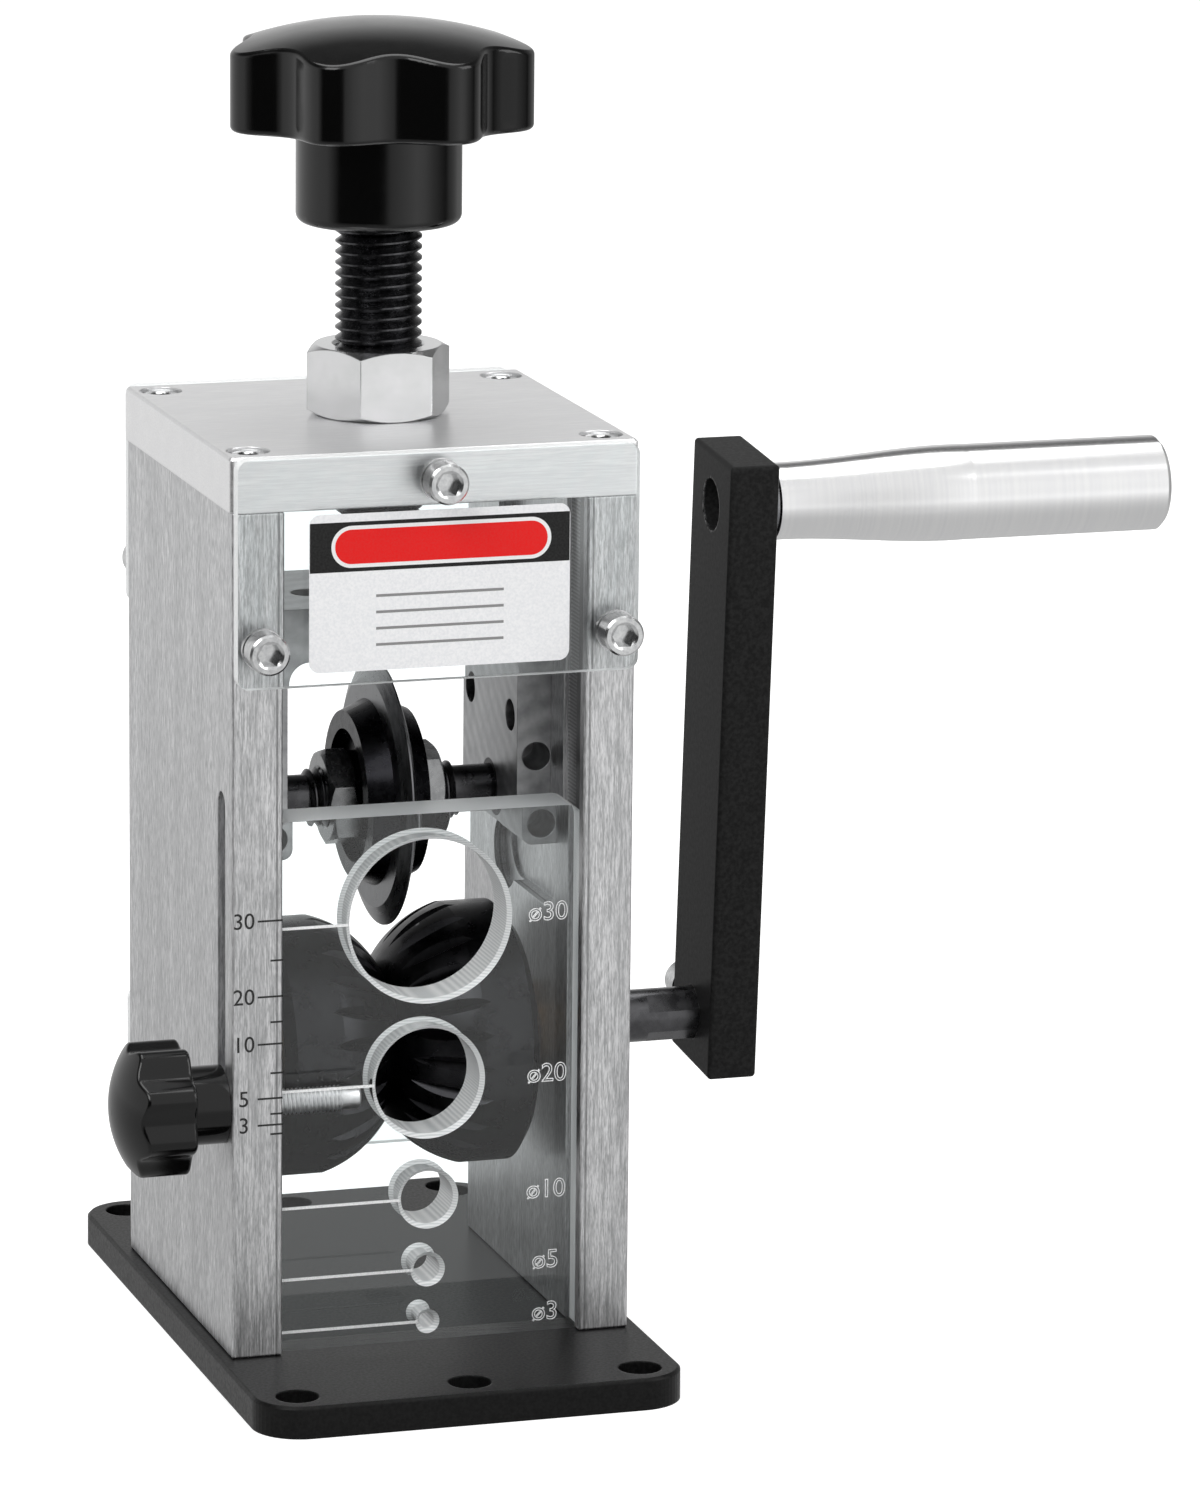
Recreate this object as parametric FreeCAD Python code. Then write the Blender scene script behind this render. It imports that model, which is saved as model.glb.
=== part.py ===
# Hand crank wire stripper: an open box frame on a base plate, with a grooved feed
# roller turned by a crank below, and a round cutting blade in a yoke above.
# A screw spindle sets the height of the blade, and a clear guide plate with five
# holes slides up and down in front, so that each cable enters at the right height.
#
# Millimetres. +Z is up, +X points along the crank handle, and the front is -Y.
# The origin is the centre of the underside of the base plate.

import FreeCAD, Part
import math
import os

V = FreeCAD.Vector

# ---------------------------------------------------------------- clearances
RUNNING = 0.05            # radial play of a shaft in its bush
SLIDING = 0.10            # play on each side of a sliding piece
SCREW_PLAY = 0.05         # radial play of a screw in its tapped hole
THROUGH_PLAY = 0.25       # radial play of a screw in a through hole
AXIAL_PLAY = 0.05         # end play under a turning shoulder
EDGE_CHAMFER = 0.5        # broken edges of plates and turned ends
BORE_EXTRA = 0.5          # blind bore beyond the end of what it holds

# ---------------------------------------------------------------- base plate
BASE_WIDTH = 81.0
BASE_DEPTH = 140.0
BASE_THICKNESS = 6.0
BASE_CORNER_RADIUS = 9.0
BASE_HOLE_RADIUS = 4.0
BASE_HOLE_INSET_X = 8.0          # hole centres from the side edges
BASE_HOLE_INSET_Y = 7.0          # hole centres from the front and rear edges

# ------------------------------------------------------- side and top plates
BODY_WIDTH = 76.0
BODY_DEPTH = 76.0
SIDE_THICKNESS = 9.5
SIDE_HEIGHT = 158.0
SIDE_CHAMFER = 0.3
TOP_OVERHANG = 0.5
TOP_THICKNESS = 10.0
TOP_CORNER_RADIUS = 1.0

# ------------------------------------------------------------------- screws
M4_RADIUS = 2.0
M4_HEAD_RADIUS = 3.5
M4_HEAD_HEIGHT = 4.0
M4_SOCKET = 3.0
M5_RADIUS = 2.5
M5_HEAD_RADIUS = 3.75     # slim heads
M5_HEAD_HEIGHT = 5.0
M5_SOCKET = 4.0
M5_COUNTERSINK_RADIUS = 5.0
M5_COUNTERSINK_DEPTH = 2.6
M5_COUNTERSUNK_SOCKET = 3.0
M5_SET_SOCKET = 2.5
HEAD_RIM_SHARE = 0.1      # a cap head's chamfer, of its radius
SOCKET_MOUTH_SHARE = 1.3  # a socket's round mouth, of its width across flats
SOCKET_MOUTH_DEPTH = 0.35
HEAD_FLOOR_SHARE = 0.45   # height of a cap head's socket floor, of the head
FLAT_SOCKET_SHARE = 0.8   # socket's depth in a countersunk head, of the head
TIP_SHARE = 0.2           # a cap screw's tip chamfer, of its radius
BASE_SCREW_SUNK = 0.1     # base screws' heads above the underside
SCREW_DEPTH = 10.0        # thread length held in the tapped hole
HOLE_EXTRA = 3.0          # tapped hole beyond the screw's tip
HEAD_SUNK = 0.5           # top screws' heads below the plate's face
COUNTERBORE_PLAY = 0.5    # radial play round a sunk head
TOP_SCREW_SPACING_Y = 63.0
BASE_SCREW_SPACING_Y = 50.0
WASHER_RADIUS = 3.9
WASHER_THICKNESS = 1.0
THREAD_DEPTH_SHARE = 0.6  # depth of a drawn thread, of its pitch
CREST_START_SHARE = 0.42
CREST_END_SHARE = 0.58
NUT_FACE_INSET = 0.2      # nut's round end face inside its flats
NUT_CHAMFER_ANGLE = 30.0
NUT_MOUTH = 0.5           # chamfer of a nut's bore

# ------------------------------------------------------------- clear covers
SHIELD_THICKNESS = 3.0
COVER_SIDE_GAP = 0.3             # covers' side edges inside the body's
SHIELD_HEIGHT = 42.0
SHIELD_CORNER_RADIUS = 2.2
SHIELD_TOP_SCREW_DROP = 5.0      # middle screw below the shield's top edge
SHIELD_LOW_SCREW_RISE = 7.5      # outer screws above the shield's lower edge
GUARD_BOTTOM = 18.0              # rear guard's lower edge above the base plate
GUARD_HEIGHT = 33.0
LABEL_WIDTH = 49.0
LABEL_HEIGHT = 29.0
LABEL_THICKNESS = 0.15
LABEL_CORNER_RADIUS = 2.0
LABEL_RISE = 2.5                 # label's lower edge above the shield's lower edge

# -------------------------------------------------------------- guide plate
GUIDE_THICKNESS = 10.0
GUIDE_HEIGHT = 100.0
GUIDE_FRONT_SETBACK = 2.5        # guide face behind the side plates' front
GUIDE_ENTRY = 1.0                # how far the guide enters each side plate
GUIDE_CORNER_RADIUS = 3.5
GUIDE_TRAVEL = 56.0
GUIDE_HOLE_DIAMETERS = (30.0, 20.0, 10.0, 5.0, 3.0)
GUIDE_HOLE_HEIGHTS = (80.0, 49.3, 27.1, 13.5, 3.5)
GUIDE_HOLE_CHAMFER = 0.8

# ------------------------------------------------------------- guide clamp
CLAMP_HEIGHT = 46.6              # stud axis above the guide's lower edge
CLAMP_SLOT_PLAY = 0.2
STUD_POINT_RADIUS = 2.15
STUD_THREAD_LENGTH = 13.7        # inside the guide, from its edge
STUD_POINT_LENGTH = 3.6
STUD_PITCH = 0.8
STUD_IN_KNOB = 9.0
CLAMP_GAP = 0.1                  # knob face to side plate
CLAMP_HUB_RADIUS = 7.25
CLAMP_HUB_LENGTH = 7.2
CLAMP_HEAD_RADIUS = 12.5
CLAMP_HEAD_WALL = 9.2
CLAMP_HEAD_DOME = 4.3
CLAMP_LOBES = 8
CLAMP_SCALLOP = 1.6
CLAMP_EDGE = 0.8

# -------------------------------------------------------- shaft and roller
SHAFT_RADIUS = 5.0
SHAFT_HEIGHT = 49.4              # shaft axis above the base plate
SHAFT_BLIND = 2.5                # plate left behind the blind end
SHAFT_END_PLAY = 0.3
BUSH_WALL = 2.0
ROLLER_RADIUS = 24.2
ROLLER_SIDE_GAP = 4.0            # roller's end to the side plate
GROOVE_RADIUS = 13.5             # radius at the bottom of the V
GROOVE_HALF_WIDTH = 13.5
GROOVE_BULGE = 1.7               # flank's rise over a straight line
ROLLER_CHAMFER_LENGTH = 1.9
ROLLER_CHAMFER_DROP = 2.7
NOTCH_COUNT = 24
NOTCH_INNER_X = 3.0
NOTCH_OUTER_X = 15.2
NOTCH_HALF_ANGLE = 42.0
NOTCH_TURN = 1.9                 # degrees of the first notch from +Z
NOTCH_REACH = 4.0                # height of the notch cutter's V
SPACER_RADIUS = 9.0
SPACER_PLAY = 0.2
KEY_SIZE = 3.0
KEY_END_GAP = 4.5                # key's end to the roller's end
KEY_PLAY = 0.05
SET_SCREW_LENGTH = 8.0
SET_SCREW_INSET = 5.9            # from the roller's end

# -------------------------------------------------------------------- crank
CRANK_RADIUS = 100.0
CRANK_LEAN = 4.44                # degrees, top towards the front
ARM_GAP = 24.4                   # side plate to arm
ARM_THICKNESS = 9.5
ARM_WIDTH = 23.0
ARM_END = 10.0                   # arm beyond each centre
ARM_EDGE = 0.8
SHAFT_FLATS = 9.3                # across the four flats
FLATS_LENGTH = 18.4
SHAFT_END_SUNK = 1.0
ARM_SCREW_STAND_OFF = 3.5
ARM_SCREW_GAP = 0.1
PIN_RADIUS = 4.0
PIN_THREAD_RADIUS = 4.9
PIN_END_SUNK = 3.0
PIN_COLLAR_RADIUS = 6.5
PIN_COLLAR_LENGTH = 2.0
GRIP_END_PLAY = 0.2
GRIP_LENGTH = 77.3
GRIP_NECK_RADIUS = 7.25
GRIP_WAIST_RADIUS = 7.6
GRIP_WAIST_X = 11.0
GRIP_SWELL_RADIUS = 8.8
GRIP_SWELL_X = 27.0
GRIP_RADIUS = 9.0
GRIP_FULL_X = 38.0
GRIP_EDGE = 0.9
GRIP_POCKET_DEPTH = 4.7
GRIP_POCKET_RADIUS = 6.6
GRIP_WASHER_RADIUS = 6.0
GRIP_SCREW_HEAD_RADIUS = 4.75
GRIP_SCREW_HEAD_HEIGHT = 2.75
GRIP_SCREW_CROWN = (0.5, 0.85, 0.6)   # crown radius, shoulder radius and height, of the head
GRIP_SCREW_FLOOR = 0.4                # socket floor, of the head's height

# ------------------------------------------------------------------- cutter
NIP_GAP = 8.3                    # blade's edge above the bottom of the V
BLADE_RADIUS = 25.0
BLADE_THICKNESS = 3.0
BLADE_BEVEL_RADIUS = 21.6
BLADE_EDGE_LAND = 0.3
FLANGE_RADIUS = 17.5             # at the blade
FLANGE_FACE_RADIUS = 15.5        # at the outer face
FLANGE_THICKNESS = 4.5
FLANGE_HUB_RADIUS = 8.0
FLANGE_HUB_DROP = 0.2            # hub's face inside the rim's face
FLANGE_GROOVE_RADIUS = 12.1
FLANGE_GROOVE_DEPTH = 2.5
AXLE_RADIUS = 4.0
AXLE_THREAD_RADIUS = 5.0
AXLE_THREAD_HALF_LENGTH = 14.0
AXLE_PITCH = 1.5
AXLE_END_PLAY = 0.4
AXLE_NUT_SIZE = 16.0
AXLE_NUT_HEIGHT = 5.4
AXLE_NUT_TURNS = {-1: 10.5, 1: -19.0}   # left and right, degrees from a flat facing forwards

# --------------------------------------------------------------------- yoke
YOKE_BLADE_GAP = 4.4             # blade to the underside of the crossbar
YOKE_BAR_THICKNESS = 10.0
YOKE_DEPTH = 35.0
YOKE_LEG_THICKNESS = 9.3
YOKE_BACK_PLAY = 0.2             # leg to the floor of its channel
YOKE_LEG_BELOW_AXLE = 6.9
YOKE_INNER_RADIUS = 4.0
YOKE_OUTER_RADIUS = 3.0
YOKE_LEG_RADIUS = 2.0            # inner edge of each leg's foot
YOKE_TRAVEL_DOWN = 7.5
YOKE_RELIEF_Y = -2.6             # the legs are shorter from here to the rear
YOKE_RELIEF_HEIGHT = 0.9
CHANNEL_DEPTH = 3.0
CHANNEL_END_PLAY = 5.8
CHANNEL_CORNER_RADIUS = 6.5
CHANNEL_POCKET_RADIUS = 7.2      # shallow round pocket over the lower rear corner
CHANNEL_POCKET_DEPTH = 2.2
CHANNEL_POCKET_INSET = 3.0       # its centre from the channel's rear wall
CHANNEL_POCKET_RISE = 4.5        # its centre above the channel's lower end
AXLE_BUSH_WALL = 1.0
YOKE_TAP_RADIUS = 2.7
YOKE_TAP_DEPTH = 10.5
YOKE_TAP_INSET = 3.7             # from the inner face of a leg
YOKE_TAP_RISES = (9.0, -3.0)     # from the axle's axis
YOKE_SIDE_HOLE_RADIUS = 3.0
YOKE_SIDE_HOLE_Y = 12.9
YOKE_SIDE_HOLE_RISE = 16.1
YOKE_TOP_HOLE_RADIUS = 3.25
YOKE_TOP_HOLE_X = 14.5
YOKE_TOP_HOLE_Y = -3.0

# ------------------------------------------------------------------ spindle
SPINDLE_RADIUS = 8.0
SPINDLE_PITCH = 2.0
SPINDLE_SHOWN = 22.6             # thread between the lock nut and the knob
SPINDLE_IN_KNOB = 14.0
SPINDLE_CREST_PLAY = 0.1         # thread crest in the bores that it passes
JOURNAL_RADIUS = 5.0
THRUST_WASHER_RADIUS = 11.0
THRUST_WASHER_THICKNESS = 1.5
RETAINER_RADIUS = 7.5
RETAINER_THICKNESS = 1.2
RETAINER_GROOVE = 0.5
RETAINER_GAP = 5.0
RETAINER_POCKET_DEPTH = 4.0
RETAINER_POCKET_PLAY = 1.0
JOURNAL_BEYOND_RING = 1.0
LOCK_NUT_SIZE = 23.7
LOCK_NUT_HEIGHT = 13.0
LOCK_NUT_TURN = 0.5              # degrees of one corner from +X
KNOB_HUB_RADIUS = 15.3
KNOB_HUB_HEIGHT = 17.6
KNOB_HUB_EDGE = 1.8
KNOB_RADIUS = 28.5
KNOB_WALL = 14.5
KNOB_DOME = 5.3
KNOB_LOBES = 7
KNOB_SCALLOP = 4.8
KNOB_SCALLOP_TURN = -99.0        # degrees of one scallop from +X
LOBE_POINTS = 6                  # points of a knob's outline for each lobe
KNOB_EDGE = 1.1

# ------------------------------------------------------------ derived places
SIDE_OUTER = BODY_WIDTH / 2
SIDE_INNER = SIDE_OUTER - SIDE_THICKNESS
SIDE_MIDDLE = SIDE_OUTER - SIDE_THICKNESS / 2
FRONT = -BODY_DEPTH / 2
REAR = BODY_DEPTH / 2
BODY_BOTTOM = BASE_THICKNESS
BODY_TOP = BODY_BOTTOM + SIDE_HEIGHT
TOP_FACE = BODY_TOP + TOP_THICKNESS
SHIELD_BOTTOM = TOP_FACE - SHIELD_HEIGHT
COVER_HALF_WIDTH = SIDE_OUTER - COVER_SIDE_GAP

GUIDE_FRONT = FRONT + GUIDE_FRONT_SETBACK
GUIDE_REAR = GUIDE_FRONT + GUIDE_THICKNESS
GUIDE_MIDDLE = (GUIDE_FRONT + GUIDE_REAR) / 2
GUIDE_HALF_WIDTH = SIDE_INNER + GUIDE_ENTRY
STUD_Z = BODY_BOTTOM + CLAMP_HEIGHT

SHAFT_Z = BODY_BOTTOM + SHAFT_HEIGHT
SHAFT_LEFT = -SIDE_OUTER + SHAFT_BLIND + SHAFT_END_PLAY
ARM_INNER = SIDE_OUTER + ARM_GAP
ARM_OUTER = ARM_INNER + ARM_THICKNESS
SHAFT_RIGHT = ARM_OUTER - SHAFT_END_SUNK
ROLLER_END = SIDE_INNER - ROLLER_SIDE_GAP
KEY_HALF_LENGTH = ROLLER_END - KEY_END_GAP
SET_SCREW_X = ROLLER_END - SET_SCREW_INSET
GRIP_START = ARM_OUTER + PIN_COLLAR_LENGTH + GRIP_END_PLAY
GRIP_STOP = GRIP_START + GRIP_LENGTH

AXLE_Z = SHAFT_Z + GROOVE_RADIUS + NIP_GAP + BLADE_RADIUS
BAR_BOTTOM = AXLE_Z + BLADE_RADIUS + YOKE_BLADE_GAP
BAR_TOP = BAR_BOTTOM + YOKE_BAR_THICKNESS
CHANNEL_FLOOR = SIDE_INNER + CHANNEL_DEPTH
LEG_OUTER = CHANNEL_FLOOR - YOKE_BACK_PLAY
LEG_INNER = LEG_OUTER - YOKE_LEG_THICKNESS
LEG_BOTTOM = AXLE_Z - YOKE_LEG_BELOW_AXLE
CHANNEL_BOTTOM = LEG_BOTTOM - YOKE_TRAVEL_DOWN - CHANNEL_END_PLAY

SPINDLE_SHOULDER = BAR_TOP + THRUST_WASHER_THICKNESS + AXIAL_PLAY
POCKET_CEILING = BAR_BOTTOM + RETAINER_POCKET_DEPTH
RETAINER_TOP = POCKET_CEILING - AXIAL_PLAY
KNOB_BOTTOM = TOP_FACE + LOCK_NUT_HEIGHT + SPINDLE_SHOWN
KNOB_HEAD_BOTTOM = KNOB_BOTTOM + KNOB_HUB_HEIGHT


# ------------------------------------------------------------ plain solids
def block(x0, x1, y0, y1, z0, z1):
    """A box between two corners."""
    return Part.makeBox(x1 - x0, y1 - y0, z1 - z0, V(x0, y0, z0))


def rod_x(radius, x0, x1, y=0.0, z=0.0):
    """A cylinder along X from x0 to x1."""
    return Part.makeCylinder(radius, x1 - x0, V(x0, y, z), V(1, 0, 0))


def rod_y(radius, y0, y1, x=0.0, z=0.0):
    """A cylinder along Y from y0 to y1."""
    return Part.makeCylinder(radius, y1 - y0, V(x, y0, z), V(0, 1, 0))


def rod_z(radius, z0, z1, x=0.0, y=0.0):
    """A cylinder along Z from z0 to z1."""
    return Part.makeCylinder(radius, z1 - z0, V(x, y, z0), V(0, 0, 1))


def edges_along(shape, axis):
    """The straight edges of a shape that run along X, Y or Z."""
    direction = {"x": V(1, 0, 0), "y": V(0, 1, 0), "z": V(0, 0, 1)}[axis]
    found = []
    for edge in shape.Edges:
        if len(edge.Vertexes) == 2 and edge.Curve.TypeId == "Part::GeomLine":
            run = edge.Vertexes[1].Point - edge.Vertexes[0].Point
            if run.cross(direction).Length < 1e-6 * run.Length:
                found.append(edge)
    return found


def edges_at(shape, axis, value):
    """The edges of a shape that lie wholly in one plane across X, Y or Z."""
    low = {"x": "XMin", "y": "YMin", "z": "ZMin"}[axis]
    high = {"x": "XMax", "y": "YMax", "z": "ZMax"}[axis]
    found = []
    for edge in shape.Edges:
        box = edge.BoundBox
        if abs(getattr(box, low) - value) < 1e-3 and abs(getattr(box, high) - value) < 1e-3:
            found.append(edge)
    return found


def mirrored(shape):
    """The same piece on the other side of the middle plane across X."""
    return shape.mirror(V(0, 0, 0), V(1, 0, 0))


def turned(profile, axis):
    """A solid of revolution about Z or X from (radius, place along the axis) points."""
    if axis == "z":
        points = [V(radius, 0, along) for radius, along in profile]
        direction = V(0, 0, 1)
    else:
        points = [V(along, 0, radius) for radius, along in profile]
        direction = V(1, 0, 0)
    wire = Part.makePolygon(points + [points[0]])
    return Part.Face(wire).revolve(V(0, 0, 0), direction, 360)


def aimed(shape, place, direction):
    """A shape built along +Z at the origin, turned to a direction and moved to its place."""
    turn = FreeCAD.Rotation(V(0, 0, 1), direction)
    copy = shape.copy()
    copy.Placement = FreeCAD.Placement(place, turn)
    return copy


def hexagon(size, z0, z1, turn=0.0):
    """A six-sided prism along Z, given its size across the flats."""
    corner = size / math.sqrt(3)
    points = []
    for i in range(7):
        angle = math.radians(turn + 60 * i)
        points.append(V(corner * math.cos(angle), corner * math.sin(angle), z0))
    return Part.Face(Part.makePolygon(points)).extrude(V(0, 0, z1 - z0))


def thread_profile(radius, pitch, start, stop):
    """Points of a V thread's outline from start to stop, drawn as rings one pitch apart."""
    depth = THREAD_DEPTH_SHARE * pitch
    count = max(1, round((stop - start) / pitch))
    step = (stop - start) / count
    points = []
    for i in range(count):
        points.append((radius - depth, start + step * i))
        points.append((radius, start + step * (i + CREST_START_SHARE)))
        points.append((radius, start + step * (i + CREST_END_SHARE)))
    points.append((radius - depth, stop))
    return points


# -------------------------------------------------------------- fasteners
def cap_screw(radius, length, head_radius, head_height, socket):
    """A socket cap screw along +Z with the underside of its head at z = 0."""
    rim = HEAD_RIM_SHARE * head_radius
    head = turned([(0, 0), (head_radius, 0), (head_radius, head_height - rim),
                   (head_radius - rim, head_height), (0, head_height)], "z")
    head = head.cut(hexagon(socket, HEAD_FLOOR_SHARE * head_height, head_height + 1))
    mouth = SOCKET_MOUTH_SHARE * socket / 2
    head = head.cut(Part.makeCone(socket / 2, mouth, SOCKET_MOUTH_DEPTH,
                                  V(0, 0, head_height - SOCKET_MOUTH_DEPTH)))
    tip = TIP_SHARE * radius
    shank = turned([(0, 0), (0, -length), (radius - tip, -length), (radius, tip - length),
                    (radius, 0)], "z")
    return head.fuse(shank).removeSplitter()


def countersunk_screw(length):
    """An M5 countersunk socket screw along +Z with its flat face at z = 0."""
    body = turned([(0, 0), (M5_COUNTERSINK_RADIUS, 0), (M5_RADIUS, -M5_COUNTERSINK_DEPTH),
                   (M5_RADIUS, -length), (0, -length)], "z")
    return body.cut(hexagon(M5_COUNTERSUNK_SOCKET, -FLAT_SOCKET_SHARE * M5_COUNTERSINK_DEPTH, 1))


def hex_nut(size, height, bore_radius, turn=0.0):
    """A hexagon nut along +Z from z = 0, chamfered at both ends, with its thread's bore."""
    corner = size / math.sqrt(3)
    flat = size / 2 - NUT_FACE_INSET
    rise = (corner - flat) * math.tan(math.radians(NUT_CHAMFER_ANGLE))
    limit = turned([(0, 0), (flat, 0), (corner, rise), (corner, height - rise),
                    (flat, height), (0, height)], "z")
    nut = hexagon(size, 0, height, turn).common(limit)
    wide = bore_radius + NUT_MOUTH + 1
    bore = turned([(0, -1), (wide, -1), (bore_radius, NUT_MOUTH), (bore_radius, height - NUT_MOUTH),
                   (wide, height + 1), (0, height + 1)], "z")
    return nut.cut(bore)


def lobed_outline(radius, scallop, lobes, turn, z):
    """A closed smooth outline whose radius falls by the scallop's depth between its lobes."""
    points = []
    steps = LOBE_POINTS * lobes
    for i in range(steps):
        angle = 2 * math.pi * i / steps
        wave = (1 + math.cos(lobes * (angle - math.radians(turn)))) / 2
        reach = radius - scallop * wave
        points.append(V(reach * math.cos(angle), reach * math.sin(angle), z))
    curve = Part.BSplineCurve()
    curve.interpolate(Points=points, PeriodicFlag=True)
    return Part.Wire([curve.toShape()])


def star_knob(hub_radius, hub_height, radius, wall, dome, lobes, scallop, turn, edge):
    """A domed star knob along +Z with its hub from z = 0."""
    foot = hub_height
    top = foot + wall + dome
    head = Part.Face(lobed_outline(radius, scallop, lobes, turn, foot)).extrude(V(0, 0, wall + dome))
    ball_radius = (radius ** 2 + dome ** 2) / (2 * dome)
    head = head.common(Part.makeSphere(ball_radius, V(0, 0, top - ball_radius)))
    rims = [e for e in head.Edges if e.BoundBox.ZMin > foot + 0.5 * wall or e.BoundBox.ZMax < foot + 0.1]
    rims = [e for e in rims if e.BoundBox.XLength > radius]
    head = head.makeFillet(edge, rims)
    hub = rod_z(hub_radius, 0, foot + edge)
    return head.fuse(hub)


# ------------------------------------------------------------------- frame
def screw_places(spacing_y):
    """The four places over the side plates, given the spacing from front to rear."""
    return [(sx * SIDE_MIDDLE, sy * spacing_y / 2) for sx in (-1, 1) for sy in (-1, 1)]


def make_base_plate():
    plate = block(-BASE_WIDTH / 2, BASE_WIDTH / 2, -BASE_DEPTH / 2, BASE_DEPTH / 2, 0, BASE_THICKNESS)
    plate = plate.makeFillet(BASE_CORNER_RADIUS, edges_along(plate, "z"))
    plate = plate.makeChamfer(EDGE_CHAMFER, edges_at(plate, "z", BASE_THICKNESS))
    holes = []
    for column in (-1, 0, 1):
        for row in (-1, 1):
            x = column * (BASE_WIDTH / 2 - BASE_HOLE_INSET_X)
            y = row * (BASE_DEPTH / 2 - BASE_HOLE_INSET_Y)
            holes.append(rod_z(BASE_HOLE_RADIUS, -1, BASE_THICKNESS + 1, x, y))
    radius = M5_RADIUS + THROUGH_PLAY
    for x, y in screw_places(BASE_SCREW_SPACING_Y):
        holes.append(rod_z(radius, -1, BASE_THICKNESS + 1, x, y))
        wide = M5_COUNTERSINK_RADIUS + THROUGH_PLAY
        holes.append(Part.makeCone(wide, radius, M5_COUNTERSINK_DEPTH, V(x, y, 0)))
    return plate.cut(holes)


def make_base_screws():
    screw = countersunk_screw(BASE_THICKNESS + SCREW_DEPTH)
    places = screw_places(BASE_SCREW_SPACING_Y)
    return [aimed(screw, V(x, y, BASE_SCREW_SUNK), V(0, 0, -1)) for x, y in places]


def tapped_z(radius, x, y, z, depth):
    """A blind hole along Z from a face at z, down for a negative depth and up for a positive one."""
    return rod_z(radius, min(z, z + depth), max(z, z + depth), x, y)


def make_side_plate(side):
    """One side plate: side is -1 for the left one and 1 for the right one."""
    plate = block(SIDE_INNER, SIDE_OUTER, FRONT, REAR, BODY_BOTTOM, BODY_TOP)
    plate = plate.makeChamfer(SIDE_CHAMFER, plate.Edges)
    cuts = []

    # groove for the guide plate, open at both ends
    cuts.append(block(SIDE_INNER - 1, SIDE_INNER + GUIDE_ENTRY + SLIDING,
                      GUIDE_FRONT - SLIDING, GUIDE_REAR + SLIDING, BODY_BOTTOM - 1, BODY_TOP + 1))

    # channel for the yoke's leg, open at the top
    half_depth = YOKE_DEPTH / 2 + SLIDING
    channel = block(SIDE_INNER - 1, CHANNEL_FLOOR, -half_depth, half_depth, CHANNEL_BOTTOM, BODY_TOP + 1)
    low = [e for e in edges_along(channel, "x") if e.BoundBox.ZMax < BODY_TOP]
    cuts.append(channel.makeFillet(CHANNEL_CORNER_RADIUS, low))
    cuts.append(rod_x(CHANNEL_POCKET_RADIUS, SIDE_INNER - 1, SIDE_INNER + CHANNEL_POCKET_DEPTH,
                      half_depth - CHANNEL_POCKET_INSET, CHANNEL_BOTTOM + CHANNEL_POCKET_RISE))

    # tapped holes for the top plate, the base plate and the covers
    deep = SCREW_DEPTH + HOLE_EXTRA
    for y in (-TOP_SCREW_SPACING_Y / 2, TOP_SCREW_SPACING_Y / 2):
        cuts.append(tapped_z(M4_RADIUS + SCREW_PLAY, SIDE_MIDDLE, y, BODY_TOP, -deep))
    for y in (-BASE_SCREW_SPACING_Y / 2, BASE_SCREW_SPACING_Y / 2):
        cuts.append(tapped_z(M5_RADIUS + SCREW_PLAY, SIDE_MIDDLE, y, BODY_BOTTOM, deep))
    cover_z = SHIELD_BOTTOM + SHIELD_LOW_SCREW_RISE
    guard_z = BODY_BOTTOM + GUARD_BOTTOM + GUARD_HEIGHT / 2
    cuts.append(rod_y(M5_RADIUS + SCREW_PLAY, FRONT - 1, FRONT + deep, SIDE_MIDDLE, cover_z))
    for z in (cover_z, guard_z):
        cuts.append(rod_y(M5_RADIUS + SCREW_PLAY, REAR - deep, REAR + 1, SIDE_MIDDLE, z))

    # seat of the shaft's bush: right through on the right, blind on the left
    bush_end = SIDE_OUTER + 1 if side > 0 else SIDE_OUTER - SHAFT_BLIND
    cuts.append(rod_x(SHAFT_RADIUS + RUNNING + BUSH_WALL, SIDE_INNER - 1, bush_end, 0, SHAFT_Z))

    # slot for the guide clamp's stud, on the left only
    if side < 0:
        half = M5_RADIUS + CLAMP_SLOT_PLAY
        ends = (STUD_Z, STUD_Z + GUIDE_TRAVEL)
        cuts.append(block(SIDE_INNER - 1, SIDE_OUTER + 1,
                          GUIDE_MIDDLE - half, GUIDE_MIDDLE + half, ends[0], ends[1]))
        for z in ends:
            cuts.append(rod_x(half, SIDE_INNER - 1, SIDE_OUTER + 1, GUIDE_MIDDLE, z))

    plate = plate.cut(cuts)
    return plate if side > 0 else mirrored(plate)


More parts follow.
